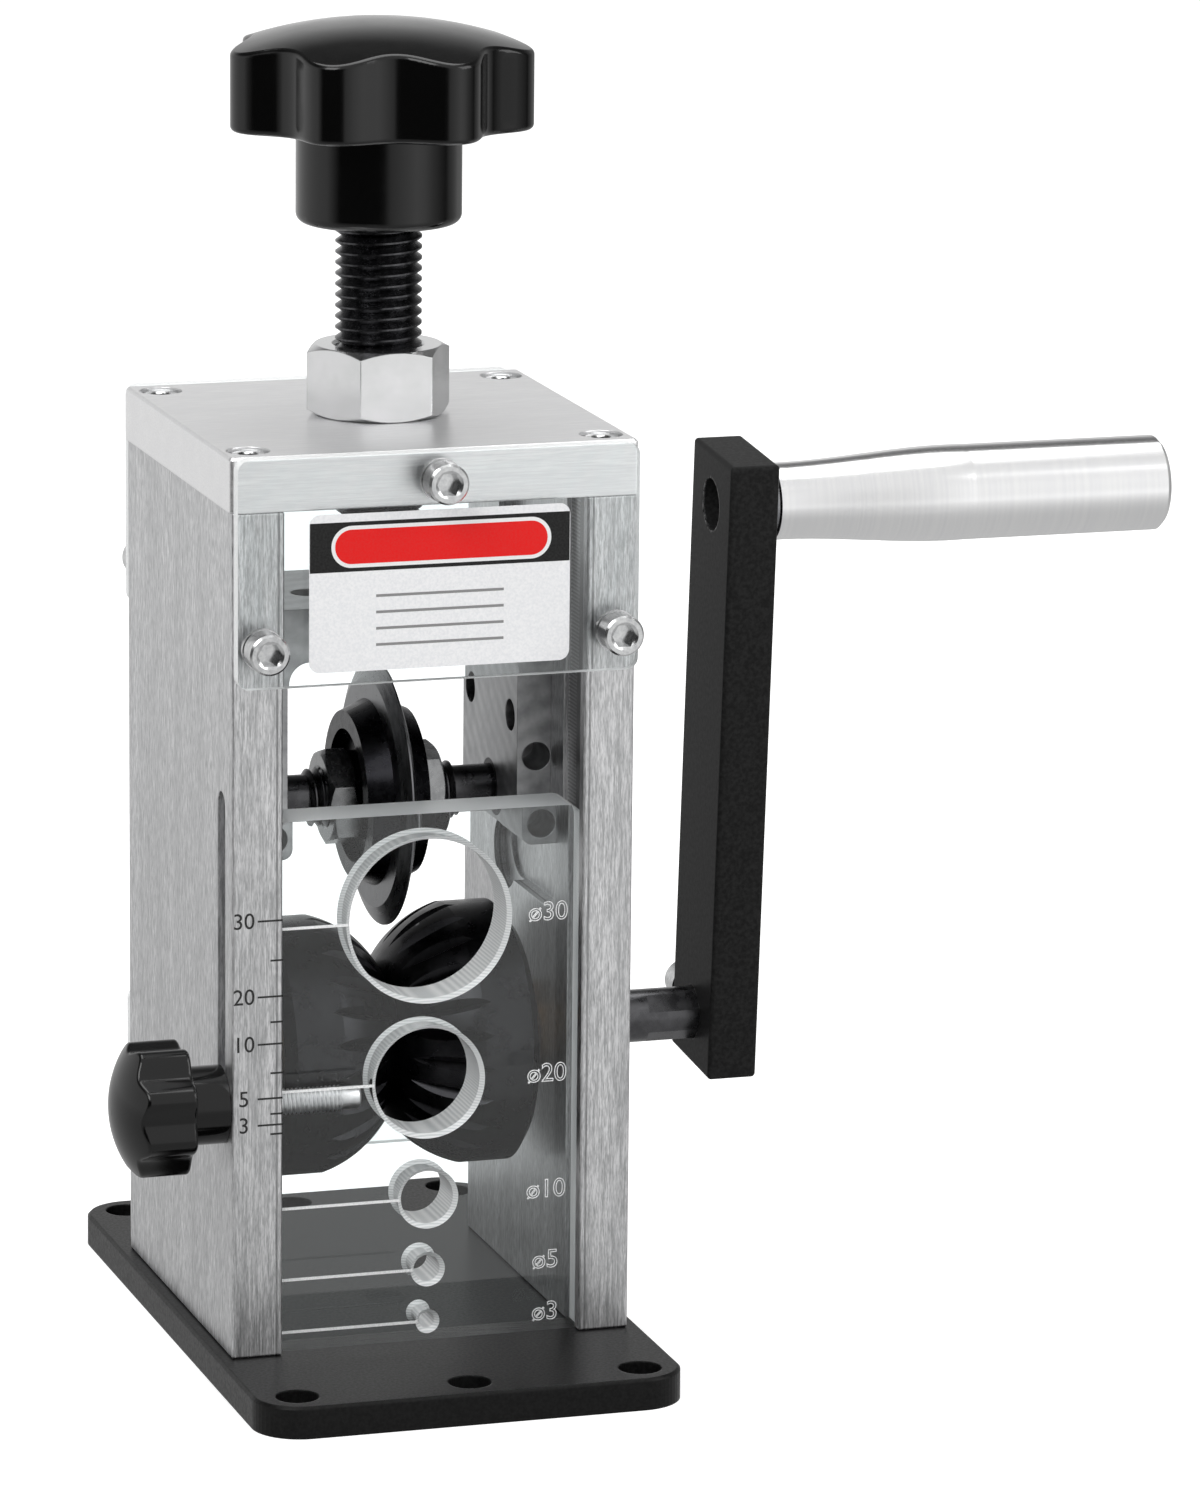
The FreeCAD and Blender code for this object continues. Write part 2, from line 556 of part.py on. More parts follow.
def make_top_plate():
    half = BODY_WIDTH / 2 + TOP_OVERHANG
    plate = block(-half, half, FRONT, REAR, BODY_TOP, TOP_FACE)
    plate = plate.makeFillet(TOP_CORNER_RADIUS, edges_along(plate, "z"))
    plate = plate.makeChamfer(EDGE_CHAMFER, edges_at(plate, "z", TOP_FACE))
    cuts = [rod_z(SPINDLE_RADIUS + SPINDLE_CREST_PLAY, BODY_TOP - 1, TOP_FACE + 1)]
    seat = TOP_FACE - HEAD_SUNK - M4_HEAD_HEIGHT
    for x, y in screw_places(TOP_SCREW_SPACING_Y):
        cuts.append(rod_z(M4_RADIUS + THROUGH_PLAY, BODY_TOP - 1, TOP_FACE + 1, x, y))
        cuts.append(rod_z(M4_HEAD_RADIUS + COUNTERBORE_PLAY, seat, TOP_FACE + 1, x, y))
    deep = SCREW_DEPTH + HOLE_EXTRA
    z = TOP_FACE - SHIELD_TOP_SCREW_DROP
    cuts.append(rod_y(M5_RADIUS + SCREW_PLAY, FRONT - 1, FRONT + deep, 0, z))
    cuts.append(rod_y(M5_RADIUS + SCREW_PLAY, REAR - deep, REAR + 1, 0, z))
    return plate.cut(cuts)


def make_top_plate_screws():
    seat = TOP_FACE - HEAD_SUNK - M4_HEAD_HEIGHT
    length = seat - BODY_TOP + SCREW_DEPTH
    screw = cap_screw(M4_RADIUS, length, M4_HEAD_RADIUS, M4_HEAD_HEIGHT, M4_SOCKET)
    return [aimed(screw, V(x, y, seat), V(0, 0, 1)) for x, y in screw_places(TOP_SCREW_SPACING_Y)]


def shield_screw_places():
    """X and Z of the three screws that hold the front or the rear shield."""
    low = SHIELD_BOTTOM + SHIELD_LOW_SCREW_RISE
    return [(-SIDE_MIDDLE, low), (SIDE_MIDDLE, low), (0.0, TOP_FACE - SHIELD_TOP_SCREW_DROP)]


def guard_screw_places():
    """X and Z of the two screws that hold the rear guard."""
    z = BODY_BOTTOM + GUARD_BOTTOM + GUARD_HEIGHT / 2
    return [(-SIDE_MIDDLE, z), (SIDE_MIDDLE, z)]


def make_cover(z0, height, places, side):
    """A clear cover flat against the front (side -1) or the rear (side 1) of the body."""
    inner = side * BODY_DEPTH / 2
    outer = inner + side * SHIELD_THICKNESS
    y0 = min(inner, outer)
    y1 = max(inner, outer)
    cover = block(-COVER_HALF_WIDTH, COVER_HALF_WIDTH, y0, y1, z0, z0 + height)
    cover = cover.makeFillet(SHIELD_CORNER_RADIUS, edges_along(cover, "y"))
    return cover.cut([rod_y(M5_RADIUS + THROUGH_PLAY, y0 - 1, y1 + 1, x, z) for x, z in places])


def make_cover_screws(places, side):
    """Cap screws that hold a cover, each through a washer."""
    seat = side * (BODY_DEPTH / 2 + SHIELD_THICKNESS + WASHER_THICKNESS)
    length = WASHER_THICKNESS + SHIELD_THICKNESS + SCREW_DEPTH
    screw = cap_screw(M5_RADIUS, length, M5_HEAD_RADIUS, M5_HEAD_HEIGHT, M5_SOCKET)
    return [aimed(screw, V(x, seat, z), V(0, side, 0)) for x, z in places]


def make_cover_washers(places, side):
    """Plain washers between a cover and its screws' heads."""
    hole = rod_z(M5_RADIUS + THROUGH_PLAY, -1, WASHER_THICKNESS + 1)
    ring = rod_z(WASHER_RADIUS, 0, WASHER_THICKNESS).cut(hole)
    seat = side * (BODY_DEPTH / 2 + SHIELD_THICKNESS)
    return [aimed(ring, V(x, seat, z), V(0, side, 0)) for x, z in places]


def make_face_label():
    front = FRONT - SHIELD_THICKNESS
    z0 = SHIELD_BOTTOM + LABEL_RISE
    label = block(-LABEL_WIDTH / 2, LABEL_WIDTH / 2, front - LABEL_THICKNESS, front,
                  z0, z0 + LABEL_HEIGHT)
    return label.makeFillet(LABEL_CORNER_RADIUS, edges_along(label, "y"))


def make_roller_bush(side):
    """Plain bush for the drive shaft in one side plate."""
    stop = SIDE_OUTER if side > 0 else SIDE_OUTER - SHAFT_BLIND
    bore = SHAFT_RADIUS + RUNNING
    bush = rod_x(bore + BUSH_WALL, SIDE_INNER, stop, 0, SHAFT_Z)
    bush = bush.cut(rod_x(bore, SIDE_INNER - 1, stop + 1, 0, SHAFT_Z))
    return bush if side > 0 else mirrored(bush)


# --------------------------------------------------------- guide and clamp
def make_guide_plate():
    top = BODY_BOTTOM + GUIDE_HEIGHT
    plate = block(-GUIDE_HALF_WIDTH, GUIDE_HALF_WIDTH, GUIDE_FRONT, GUIDE_REAR, BODY_BOTTOM, top)
    corners = [e for e in edges_along(plate, "y") if e.BoundBox.ZMin > top - 1]
    plate = plate.makeFillet(GUIDE_CORNER_RADIUS, corners)
    cuts = []
    rim = GUIDE_HOLE_CHAMFER
    for diameter, height in zip(GUIDE_HOLE_DIAMETERS, GUIDE_HOLE_HEIGHTS):
        radius = diameter / 2
        z = BODY_BOTTOM + height
        cuts.append(rod_y(radius, GUIDE_FRONT - 1, GUIDE_REAR + 1, 0, z))
        cuts.append(Part.makeCone(radius + rim, radius, rim, V(0, GUIDE_FRONT, z), V(0, 1, 0)))
        cuts.append(Part.makeCone(radius + rim, radius, rim, V(0, GUIDE_REAR, z), V(0, -1, 0)))
    hole_end = STUD_THREAD_LENGTH + STUD_POINT_LENGTH + HOLE_EXTRA - GUIDE_HALF_WIDTH
    cuts.append(rod_x(M5_RADIUS + SCREW_PLAY, -GUIDE_HALF_WIDTH - 1, hole_end, GUIDE_MIDDLE, STUD_Z))
    return plate.cut(cuts)


def make_clamp_knob():
    knob = star_knob(CLAMP_HUB_RADIUS, CLAMP_HUB_LENGTH, CLAMP_HEAD_RADIUS, CLAMP_HEAD_WALL,
                     CLAMP_HEAD_DOME, CLAMP_LOBES, CLAMP_SCALLOP, 0.0, CLAMP_EDGE)
    knob = knob.cut(rod_z(M5_RADIUS + SCREW_PLAY, -1, STUD_IN_KNOB + BORE_EXTRA))
    return aimed(knob, V(-SIDE_OUTER - CLAMP_GAP, GUIDE_MIDDLE, STUD_Z), V(-1, 0, 0))


def make_clamp_stud():
    """The stud, from the knob through the slot and into the guide's edge."""
    outside = SIDE_OUTER + CLAMP_GAP + STUD_IN_KNOB
    edge = -GUIDE_HALF_WIDTH
    thread = thread_profile(M5_RADIUS, STUD_PITCH, edge, edge + STUD_THREAD_LENGTH)
    point = edge + STUD_THREAD_LENGTH + STUD_POINT_LENGTH
    profile = [(0, -outside), (M5_RADIUS, -outside), (M5_RADIUS, edge - STUD_PITCH)] + thread
    profile += [(STUD_POINT_RADIUS, edge + STUD_THREAD_LENGTH), (STUD_POINT_RADIUS, point), (0, point)]
    stud = turned(profile, "x")
    stud.translate(V(0, GUIDE_MIDDLE, STUD_Z))
    return stud


# -------------------------------------------------------- shaft and roller
def make_roller_half(side):
    """One half of the feed roller, from the bottom of its V to one end."""
    bore = SHAFT_RADIUS + SCREW_PLAY
    foot = V(0, 0, GROOVE_RADIUS)
    crest = V(GROOVE_HALF_WIDTH, 0, ROLLER_RADIUS)
    run = crest - foot
    middle = (foot + crest) * 0.5 + V(-run.z, 0, run.x).normalize() * GROOVE_BULGE
    flank = Part.Arc(foot, middle, crest).toShape()
    rest = Part.makePolygon([
        crest,
        V(ROLLER_END - ROLLER_CHAMFER_LENGTH, 0, ROLLER_RADIUS),
        V(ROLLER_END, 0, ROLLER_RADIUS - ROLLER_CHAMFER_DROP),
        V(ROLLER_END, 0, bore),
        V(0, 0, bore),
        foot,
    ])
    half = Part.Face(Part.Wire([flank] + rest.Edges)).revolve(V(0, 0, 0), V(1, 0, 0), 360)

    # drive notches: straight V cuts that run out at both ends of the bulging flank
    share = NOTCH_INNER_X / GROOVE_HALF_WIDTH
    low = foot + run * share + V(-run.z, 0, run.x).normalize() * GROOVE_BULGE * 4 * share * (1 - share)
    high = V(NOTCH_OUTER_X, 0, ROLLER_RADIUS)
    outward = V(low.z - high.z, 0, high.x - low.x).normalize()
    back = low + outward * NOTCH_REACH
    spread = V(0, NOTCH_REACH * math.tan(math.radians(NOTCH_HALF_ANGLE)), 0)
    triangle = Part.Face(Part.makePolygon([low, back + spread, back - spread, low]))
    notch = triangle.extrude(high - low)
    cuts = []
    for i in range(NOTCH_COUNT):
        cut = notch.copy()
        cut.rotate(V(0, 0, 0), V(1, 0, 0), NOTCH_TURN + 360.0 * i / NOTCH_COUNT)
        cuts.append(cut)
    key = KEY_SIZE / 2 + KEY_PLAY
    cuts.append(block(-1, KEY_HALF_LENGTH + KEY_PLAY, -key, key, 0, SHAFT_RADIUS + key))
    if side < 0:
        cuts.append(rod_z(M5_RADIUS + SCREW_PLAY, -ROLLER_RADIUS - 1, 0, SET_SCREW_X, 0))
    half = half.cut(cuts)
    half.translate(V(0, 0, SHAFT_Z))
    return half if side > 0 else mirrored(half)


def make_set_screw():
    """Set screw in the roller's left half, against the shaft from below."""
    top = SHAFT_Z - SHAFT_RADIUS - SCREW_PLAY
    bottom = top - SET_SCREW_LENGTH
    screw = rod_z(M5_RADIUS, bottom, top, -SET_SCREW_X, 0)
    socket = hexagon(M5_SET_SOCKET, bottom - 1, bottom + M5_RADIUS)
    socket.translate(V(-SET_SCREW_X, 0, 0))
    return screw.cut(socket)


def make_roller_key():
    half = KEY_HALF_LENGTH
    return block(-half, half, -KEY_SIZE / 2, KEY_SIZE / 2,
                 SHAFT_Z + SHAFT_RADIUS - KEY_SIZE / 2, SHAFT_Z + SHAFT_RADIUS + KEY_SIZE / 2)


def make_spacers():
    """Washers that fill the gap between the roller and each side plate."""
    stop = SIDE_INNER - SPACER_PLAY
    ring = rod_x(SPACER_RADIUS, ROLLER_END, stop, 0, SHAFT_Z).cut(
        rod_x(SHAFT_RADIUS + RUNNING, ROLLER_END - 1, stop + 1, 0, SHAFT_Z))
    return [mirrored(ring), ring]


def flats_block(size, x0, x1):
    """A square bar on the shaft's axis with its flats at 45 degrees to the crank arm."""
    bar = block(x0, x1, -size / 2, size / 2, -size / 2, size / 2)
    bar.rotate(V(0, 0, 0), V(1, 0, 0), 45)
    return bar


def leaned(shape):
    """Turn a piece about the shaft's axis by the crank's lean and lift it onto that axis."""
    copy = shape.copy()
    copy.rotate(V(0, 0, 0), V(1, 0, 0), CRANK_LEAN)
    copy.translate(V(0, 0, SHAFT_Z))
    return copy


def make_drive_shaft():
    flats_start = SHAFT_RIGHT - FLATS_LENGTH
    plain = rod_x(SHAFT_RADIUS, SHAFT_LEFT, flats_start)
    end = rod_x(SHAFT_RADIUS, flats_start, SHAFT_RIGHT)
    end = end.common(flats_block(SHAFT_FLATS, flats_start - 1, SHAFT_RIGHT + 1))
    shaft = leaned(plain.fuse(end))
    key = KEY_SIZE / 2 + KEY_PLAY
    half = KEY_HALF_LENGTH + KEY_PLAY
    top = SHAFT_Z + SHAFT_RADIUS
    return shaft.cut(block(-half, half, -key, key, top - key, top + 1))


# -------------------------------------------------------------------- crank
def make_crank_arm():
    half = ARM_WIDTH / 2
    arm = block(ARM_INNER, ARM_OUTER, -half, half, -ARM_END, CRANK_RADIUS + ARM_END)
    arm = arm.makeFillet(ARM_EDGE, arm.Edges)
    bore = rod_x(SHAFT_RADIUS + RUNNING, ARM_INNER - 1, ARM_OUTER + 1)
    bore = bore.common(flats_block(SHAFT_FLATS + 2 * RUNNING, ARM_INNER - 1, ARM_OUTER + 1))
    middle = (ARM_INNER + ARM_OUTER) / 2
    cuts = [bore,
            rod_y(M5_RADIUS + SCREW_PLAY, 0, half + 1, middle, 0),
            rod_x(PIN_THREAD_RADIUS + SCREW_PLAY, ARM_INNER - 1, ARM_OUTER + 1, 0, CRANK_RADIUS)]
    return leaned(arm.cut(cuts))


def make_arm_screw():
    """Cap screw in the arm's rear edge that bears on the shaft."""
    seat = ARM_WIDTH / 2 + ARM_SCREW_STAND_OFF
    length = seat - SHAFT_RADIUS - ARM_SCREW_GAP
    screw = cap_screw(M5_RADIUS, length, M5_HEAD_RADIUS, M5_HEAD_HEIGHT, M5_SOCKET)
    return leaned(aimed(screw, V((ARM_INNER + ARM_OUTER) / 2, seat, 0), V(0, 1, 0)))


def make_handle_pin():
    """Fixed pin that the grip turns on, screwed into the top of the arm."""
    end = GRIP_STOP - GRIP_POCKET_DEPTH + GRIP_END_PLAY
    collar = ARM_OUTER + PIN_COLLAR_LENGTH
    root = ARM_INNER + PIN_END_SUNK
    pin = turned([(0, root), (PIN_THREAD_RADIUS, root), (PIN_THREAD_RADIUS, ARM_OUTER),
                  (PIN_COLLAR_RADIUS, ARM_OUTER), (PIN_COLLAR_RADIUS, collar),
                  (PIN_RADIUS, collar), (PIN_RADIUS, end), (0, end)], "x")
    pin = pin.cut(rod_x(M5_RADIUS + SCREW_PLAY, end - SCREW_DEPTH - HOLE_EXTRA, end + 1))
    pin.translate(V(0, 0, CRANK_RADIUS))
    return leaned(pin)


def make_grip_washer():
    start = GRIP_STOP - GRIP_POCKET_DEPTH + GRIP_END_PLAY
    ring = rod_x(GRIP_WASHER_RADIUS, start, start + WASHER_THICKNESS, 0, CRANK_RADIUS)
    stop = start + WASHER_THICKNESS + 1
    return leaned(ring.cut(rod_x(M5_RADIUS + THROUGH_PLAY, start - 1, stop, 0, CRANK_RADIUS)))


def make_grip_screw():
    """Button head screw that keeps the grip on its pin."""
    start = GRIP_STOP - GRIP_POCKET_DEPTH + GRIP_END_PLAY + WASHER_THICKNESS
    head = GRIP_SCREW_HEAD_RADIUS
    top = GRIP_SCREW_HEAD_HEIGHT
    crown, shoulder, level = GRIP_SCREW_CROWN
    screw = turned([(0, top), (crown * head, top), (shoulder * head, level * top), (head, 0),
                    (M5_RADIUS, 0), (M5_RADIUS, -SCREW_DEPTH), (0, -SCREW_DEPTH)], "z")
    screw = screw.cut(hexagon(M5_COUNTERSUNK_SOCKET, GRIP_SCREW_FLOOR * top, top + 1))
    return leaned(aimed(screw, V(start, 0, CRANK_RADIUS), V(1, 0, 0)))


def make_crank_grip():
    """Turned handle: a slim neck at the arm that swells to a plain cylinder."""
    start = V(GRIP_START, 0, GRIP_NECK_RADIUS)
    swell = Part.BSplineCurve()
    swell.interpolate([start,
                       V(GRIP_START + GRIP_WAIST_X, 0, GRIP_WAIST_RADIUS),
                       V(GRIP_START + GRIP_SWELL_X, 0, GRIP_SWELL_RADIUS),
                       V(GRIP_START + GRIP_FULL_X, 0, GRIP_RADIUS)])
    bore = PIN_RADIUS + RUNNING
    floor = GRIP_STOP - GRIP_POCKET_DEPTH
    rest = Part.makePolygon([
        V(GRIP_START + GRIP_FULL_X, 0, GRIP_RADIUS),
        V(GRIP_STOP - GRIP_EDGE, 0, GRIP_RADIUS),
        V(GRIP_STOP, 0, GRIP_RADIUS - GRIP_EDGE),
        V(GRIP_STOP, 0, GRIP_POCKET_RADIUS),
        V(floor, 0, GRIP_POCKET_RADIUS),
        V(floor, 0, bore),
        V(GRIP_START, 0, bore),
        start,
    ])
    grip = Part.Face(Part.Wire([swell.toShape()] + rest.Edges)).revolve(V(0, 0, 0), V(1, 0, 0), 360)
    grip.translate(V(0, 0, CRANK_RADIUS))
    return leaned(grip)


# ------------------------------------------------------------------- cutter
def make_cutting_blade():
    half = BLADE_THICKNESS / 2
    land = BLADE_EDGE_LAND / 2
    bore = AXLE_THREAD_RADIUS + SCREW_PLAY
    blade = turned([(bore, -half), (BLADE_BEVEL_RADIUS, -half), (BLADE_RADIUS, -land), (BLADE_RADIUS, land),
                    (BLADE_BEVEL_RADIUS, half), (bore, half)], "x")
    blade.translate(V(0, 0, AXLE_Z))
    return blade


def make_blade_flange(side):
    """Tapered clamping disc beside the blade, with a ring groove round the hub that its nut bears on."""
    inner = BLADE_THICKNESS / 2
    outer = inner + FLANGE_THICKNESS
    hub = outer - FLANGE_HUB_DROP
    groove = outer - FLANGE_GROOVE_DEPTH
    bore = AXLE_THREAD_RADIUS + SCREW_PLAY
    flange = turned([(bore, inner), (FLANGE_RADIUS, inner), (FLANGE_FACE_RADIUS, outer),
                     (FLANGE_GROOVE_RADIUS, outer), (FLANGE_GROOVE_RADIUS, groove),
                     (FLANGE_HUB_RADIUS, groove), (FLANGE_HUB_RADIUS, hub), (bore, hub)], "x")
    flange.translate(V(0, 0, AXLE_Z))
    return flange if side > 0 else mirrored(flange)


def make_axle_nut(side):
    bore = AXLE_THREAD_RADIUS + SCREW_PLAY
    nut = hex_nut(AXLE_NUT_SIZE, AXLE_NUT_HEIGHT, bore, AXLE_NUT_TURNS[side])
    seat = BLADE_THICKNESS / 2 + FLANGE_THICKNESS - FLANGE_HUB_DROP
    nut = aimed(nut, V(seat, 0, AXLE_Z), V(1, 0, 0))
    return nut if side > 0 else mirrored(nut)


def make_cutter_axle():
    """Axle threaded in the middle, with a plain journal at each end."""
    end = CHANNEL_FLOOR - AXLE_END_PLAY
    reach = AXLE_THREAD_HALF_LENGTH
    rim = end - EDGE_CHAMFER
    tip = AXLE_RADIUS - EDGE_CHAMFER
    profile = [(0, -end), (tip, -end), (AXLE_RADIUS, -rim), (AXLE_RADIUS, -reach)]
    profile += thread_profile(AXLE_THREAD_RADIUS, AXLE_PITCH, -reach, reach)
    profile += [(AXLE_RADIUS, reach), (AXLE_RADIUS, rim), (tip, end), (0, end)]
    axle = turned(profile, "x")
    axle.translate(V(0, 0, AXLE_Z))
    return axle


# --------------------------------------------------------------------- yoke
def make_yoke():
    """Upside-down U that carries the cutter and slides in the side plates' channels."""
    half = YOKE_DEPTH / 2
    body = block(-LEG_OUTER, LEG_OUTER, -half, half, LEG_BOTTOM, BAR_TOP)
    shoulders = [e for e in edges_along(body, "y") if e.BoundBox.ZMin > BAR_BOTTOM]
    body = body.makeFillet(YOKE_OUTER_RADIUS, shoulders)
    gap = block(-LEG_INNER, LEG_INNER, -half - 1, half + 1, LEG_BOTTOM - 1, BAR_BOTTOM)
    roots = [e for e in edges_along(gap, "y") if e.BoundBox.ZMin > BAR_BOTTOM - 1]
    body = body.cut(gap.makeFillet(YOKE_INNER_RADIUS, roots))
    feet = [e for e in edges_along(body, "y")
            if e.BoundBox.ZMax < LEG_BOTTOM + 1 and abs(e.BoundBox.XMin) < LEG_INNER + 1]
    body = body.makeFillet(YOKE_LEG_RADIUS, feet)
    relief_top = LEG_BOTTOM + YOKE_RELIEF_HEIGHT
    cuts = [rod_x(AXLE_RADIUS + RUNNING + AXLE_BUSH_WALL, -LEG_OUTER - 1, LEG_OUTER + 1, 0, AXLE_Z),
            block(-LEG_OUTER - 1, LEG_OUTER + 1, YOKE_RELIEF_Y, half + 1, LEG_BOTTOM - 1, relief_top),
            rod_z(JOURNAL_RADIUS + RUNNING, BAR_BOTTOM - 1, BAR_TOP + 1),
            rod_z(RETAINER_RADIUS + RETAINER_POCKET_PLAY, BAR_BOTTOM - 1, POCKET_CEILING)]
    for side in (-1, 1):
        for rise in YOKE_TAP_RISES:
            x = side * (LEG_INNER + YOKE_TAP_INSET)
            cuts.append(rod_y(YOKE_TAP_RADIUS, -half - 1, YOKE_TAP_DEPTH - half, x, AXLE_Z + rise))
        y = side * YOKE_SIDE_HOLE_Y
        z = AXLE_Z + YOKE_SIDE_HOLE_RISE
        cuts.append(rod_x(YOKE_SIDE_HOLE_RADIUS, -LEG_OUTER - 1, LEG_OUTER + 1, y, z))
        x = side * YOKE_TOP_HOLE_X
        cuts.append(rod_z(YOKE_TOP_HOLE_RADIUS, BAR_BOTTOM - 1, BAR_TOP + 1, x, YOKE_TOP_HOLE_Y))
    return body.cut(cuts)


def make_axle_bush(side):
    bore = AXLE_RADIUS + RUNNING
    bush = rod_x(bore + AXLE_BUSH_WALL, LEG_INNER, LEG_OUTER, 0, AXLE_Z)
    bush = bush.cut(rod_x(bore, LEG_INNER - 1, LEG_OUTER + 1, 0, AXLE_Z))
    return bush if side > 0 else mirrored(bush)


def make_thrust_washer():
    top = BAR_TOP + THRUST_WASHER_THICKNESS
    hole = rod_z(JOURNAL_RADIUS + RUNNING, BAR_TOP - 1, top + 1)
    return rod_z(THRUST_WASHER_RADIUS, BAR_TOP, top).cut(hole)


# ------------------------------------------------------------------ spindle
def make_spindle():
    """Screw spindle: threaded above its shoulder, with a plain journal in the yoke below."""
    groove = JOURNAL_RADIUS - RETAINER_GROOVE
    ring_bottom = RETAINER_TOP - RETAINER_THICKNESS
    foot = ring_bottom - JOURNAL_BEYOND_RING
    top = KNOB_BOTTOM + SPINDLE_IN_KNOB
    profile = [(0, foot), (JOURNAL_RADIUS, foot), (JOURNAL_RADIUS, ring_bottom), (groove, ring_bottom),
               (groove, RETAINER_TOP), (JOURNAL_RADIUS, RETAINER_TOP), (JOURNAL_RADIUS, SPINDLE_SHOULDER)]
    profile += thread_profile(SPINDLE_RADIUS, SPINDLE_PITCH, SPINDLE_SHOULDER, top)
    profile += [(0, top)]
    return turned(profile, "z")


def make_spindle_retainer():
    """Open ring in the journal's groove, under the yoke's crossbar."""
    bottom = RETAINER_TOP - RETAINER_THICKNESS
    ring = rod_z(RETAINER_RADIUS, bottom, RETAINER_TOP)
    bore = JOURNAL_RADIUS - RETAINER_GROOVE + SCREW_PLAY
    gap = block(0, RETAINER_RADIUS + 1, -RETAINER_GAP / 2, RETAINER_GAP / 2, bottom - 1, RETAINER_TOP + 1)
    return ring.cut([rod_z(bore, bottom - 1, RETAINER_TOP + 1), gap])


def make_lock_nut():
    bore = SPINDLE_RADIUS + SPINDLE_CREST_PLAY
    nut = hex_nut(LOCK_NUT_SIZE, LOCK_NUT_HEIGHT - AXIAL_PLAY, bore, LOCK_NUT_TURN)
    nut.translate(V(0, 0, TOP_FACE + AXIAL_PLAY))
    return nut


def make_pressure_knob():
    knob = star_knob(KNOB_HUB_RADIUS, KNOB_HUB_HEIGHT, KNOB_RADIUS, KNOB_WALL, KNOB_DOME,
                     KNOB_LOBES, KNOB_SCALLOP, KNOB_SCALLOP_TURN, KNOB_EDGE)
    knob = knob.makeFillet(KNOB_HUB_EDGE, edges_at(knob, "z", 0.0))
    knob = knob.cut(rod_z(SPINDLE_RADIUS + SCREW_PLAY, -1, SPINDLE_IN_KNOB + BORE_EXTRA))
    knob.translate(V(0, 0, KNOB_BOTTOM))
    return knob


# ------------------------------------------------------------------- output
def save(name, pieces):
    """Write one node: a single solid, or a group of separate solids."""
    if not isinstance(pieces, list):
        pieces = [pieces]
    solids = []
    for piece in pieces:
        solids.extend(piece.Solids)
    shape = solids[0] if len(solids) == 1 else Part.makeCompound(solids)
    shape.exportStep(os.path.join("parts", name + ".step"))
    print(name, len(solids), "solid(s),", round(shape.Volume, 1), "mm3, valid:", shape.isValid())


def main():
    os.makedirs("parts", exist_ok=True)
    shield = shield_screw_places()
    guard = guard_screw_places()
    guard_z = BODY_BOTTOM + GUARD_BOTTOM

    save("base_plate", make_base_plate())
    save("base_screws", make_base_screws())
    save("side_plate_left", make_side_plate(-1))
    save("side_plate_right", make_side_plate(1))
    save("top_plate", make_top_plate())
    save("top_plate_screws", make_top_plate_screws())
    save("front_shield", make_cover(SHIELD_BOTTOM, SHIELD_HEIGHT, shield, -1))
    save("front_shield_screws", make_cover_screws(shield, -1))
    save("front_shield_washers", make_cover_washers(shield, -1))
    save("rear_shield", make_cover(SHIELD_BOTTOM, SHIELD_HEIGHT, shield, 1))
    save("rear_shield_screws", make_cover_screws(shield, 1))
    save("rear_shield_washers", make_cover_washers(shield, 1))
    save("rear_guard", make_cover(guard_z, GUARD_HEIGHT, guard, 1))
    save("rear_guard_screws", make_cover_screws(guard, 1))
    save("rear_guard_washers", make_cover_washers(guard, 1))
    save("face_label", make_face_label())
    save("roller_bush_left", make_roller_bush(-1))
    save("roller_bush_right", make_roller_bush(1))

    save("guide_plate", make_guide_plate())
    save("clamp_knob", make_clamp_knob())
    save("clamp_stud", make_clamp_stud())

    save("drive_shaft", make_drive_shaft())
    save("feed_roller_left", make_roller_half(-1))
    save("feed_roller_right", make_roller_half(1))
    save("roller_key", make_roller_key())
    save("roller_set_screw", make_set_screw())
    save("roller_spacers", make_spacers())
    save("crank_arm", make_crank_arm())
    save("arm_screw", make_arm_screw())
    save("handle_pin", make_handle_pin())
    save("grip_washer", make_grip_washer())
    save("grip_screw", make_grip_screw())
    save("crank_grip", make_crank_grip())

    save("yoke", make_yoke())
    save("axle_bush_left", make_axle_bush(-1))
    save("axle_bush_right", make_axle_bush(1))
    save("thrust_washer", make_thrust_washer())
    save("cutter_axle", make_cutter_axle())
    save("cutting_blade", make_cutting_blade())
    save("blade_flange_left", make_blade_flange(-1))
    save("blade_flange_right", make_blade_flange(1))
    save("axle_nut_left", make_axle_nut(-1))
    save("axle_nut_right", make_axle_nut(1))

    save("spindle", make_spindle())
    save("spindle_retainer", make_spindle_retainer())
    save("lock_nut", make_lock_nut())
    save("pressure_knob", make_pressure_knob())


main()
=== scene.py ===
# %% [markdown]
# # Hand crank wire stripper
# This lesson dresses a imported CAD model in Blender. The CAD pieces are loaded first and are
# never moved. They keep their shapes and get finishes, and the pieces that CAD leaves plain,
# such as rolled threads, engraved numbers and printed film, are modelled here.

# %% Load the frame
import math

import bpy
from mathutils import Matrix, Vector


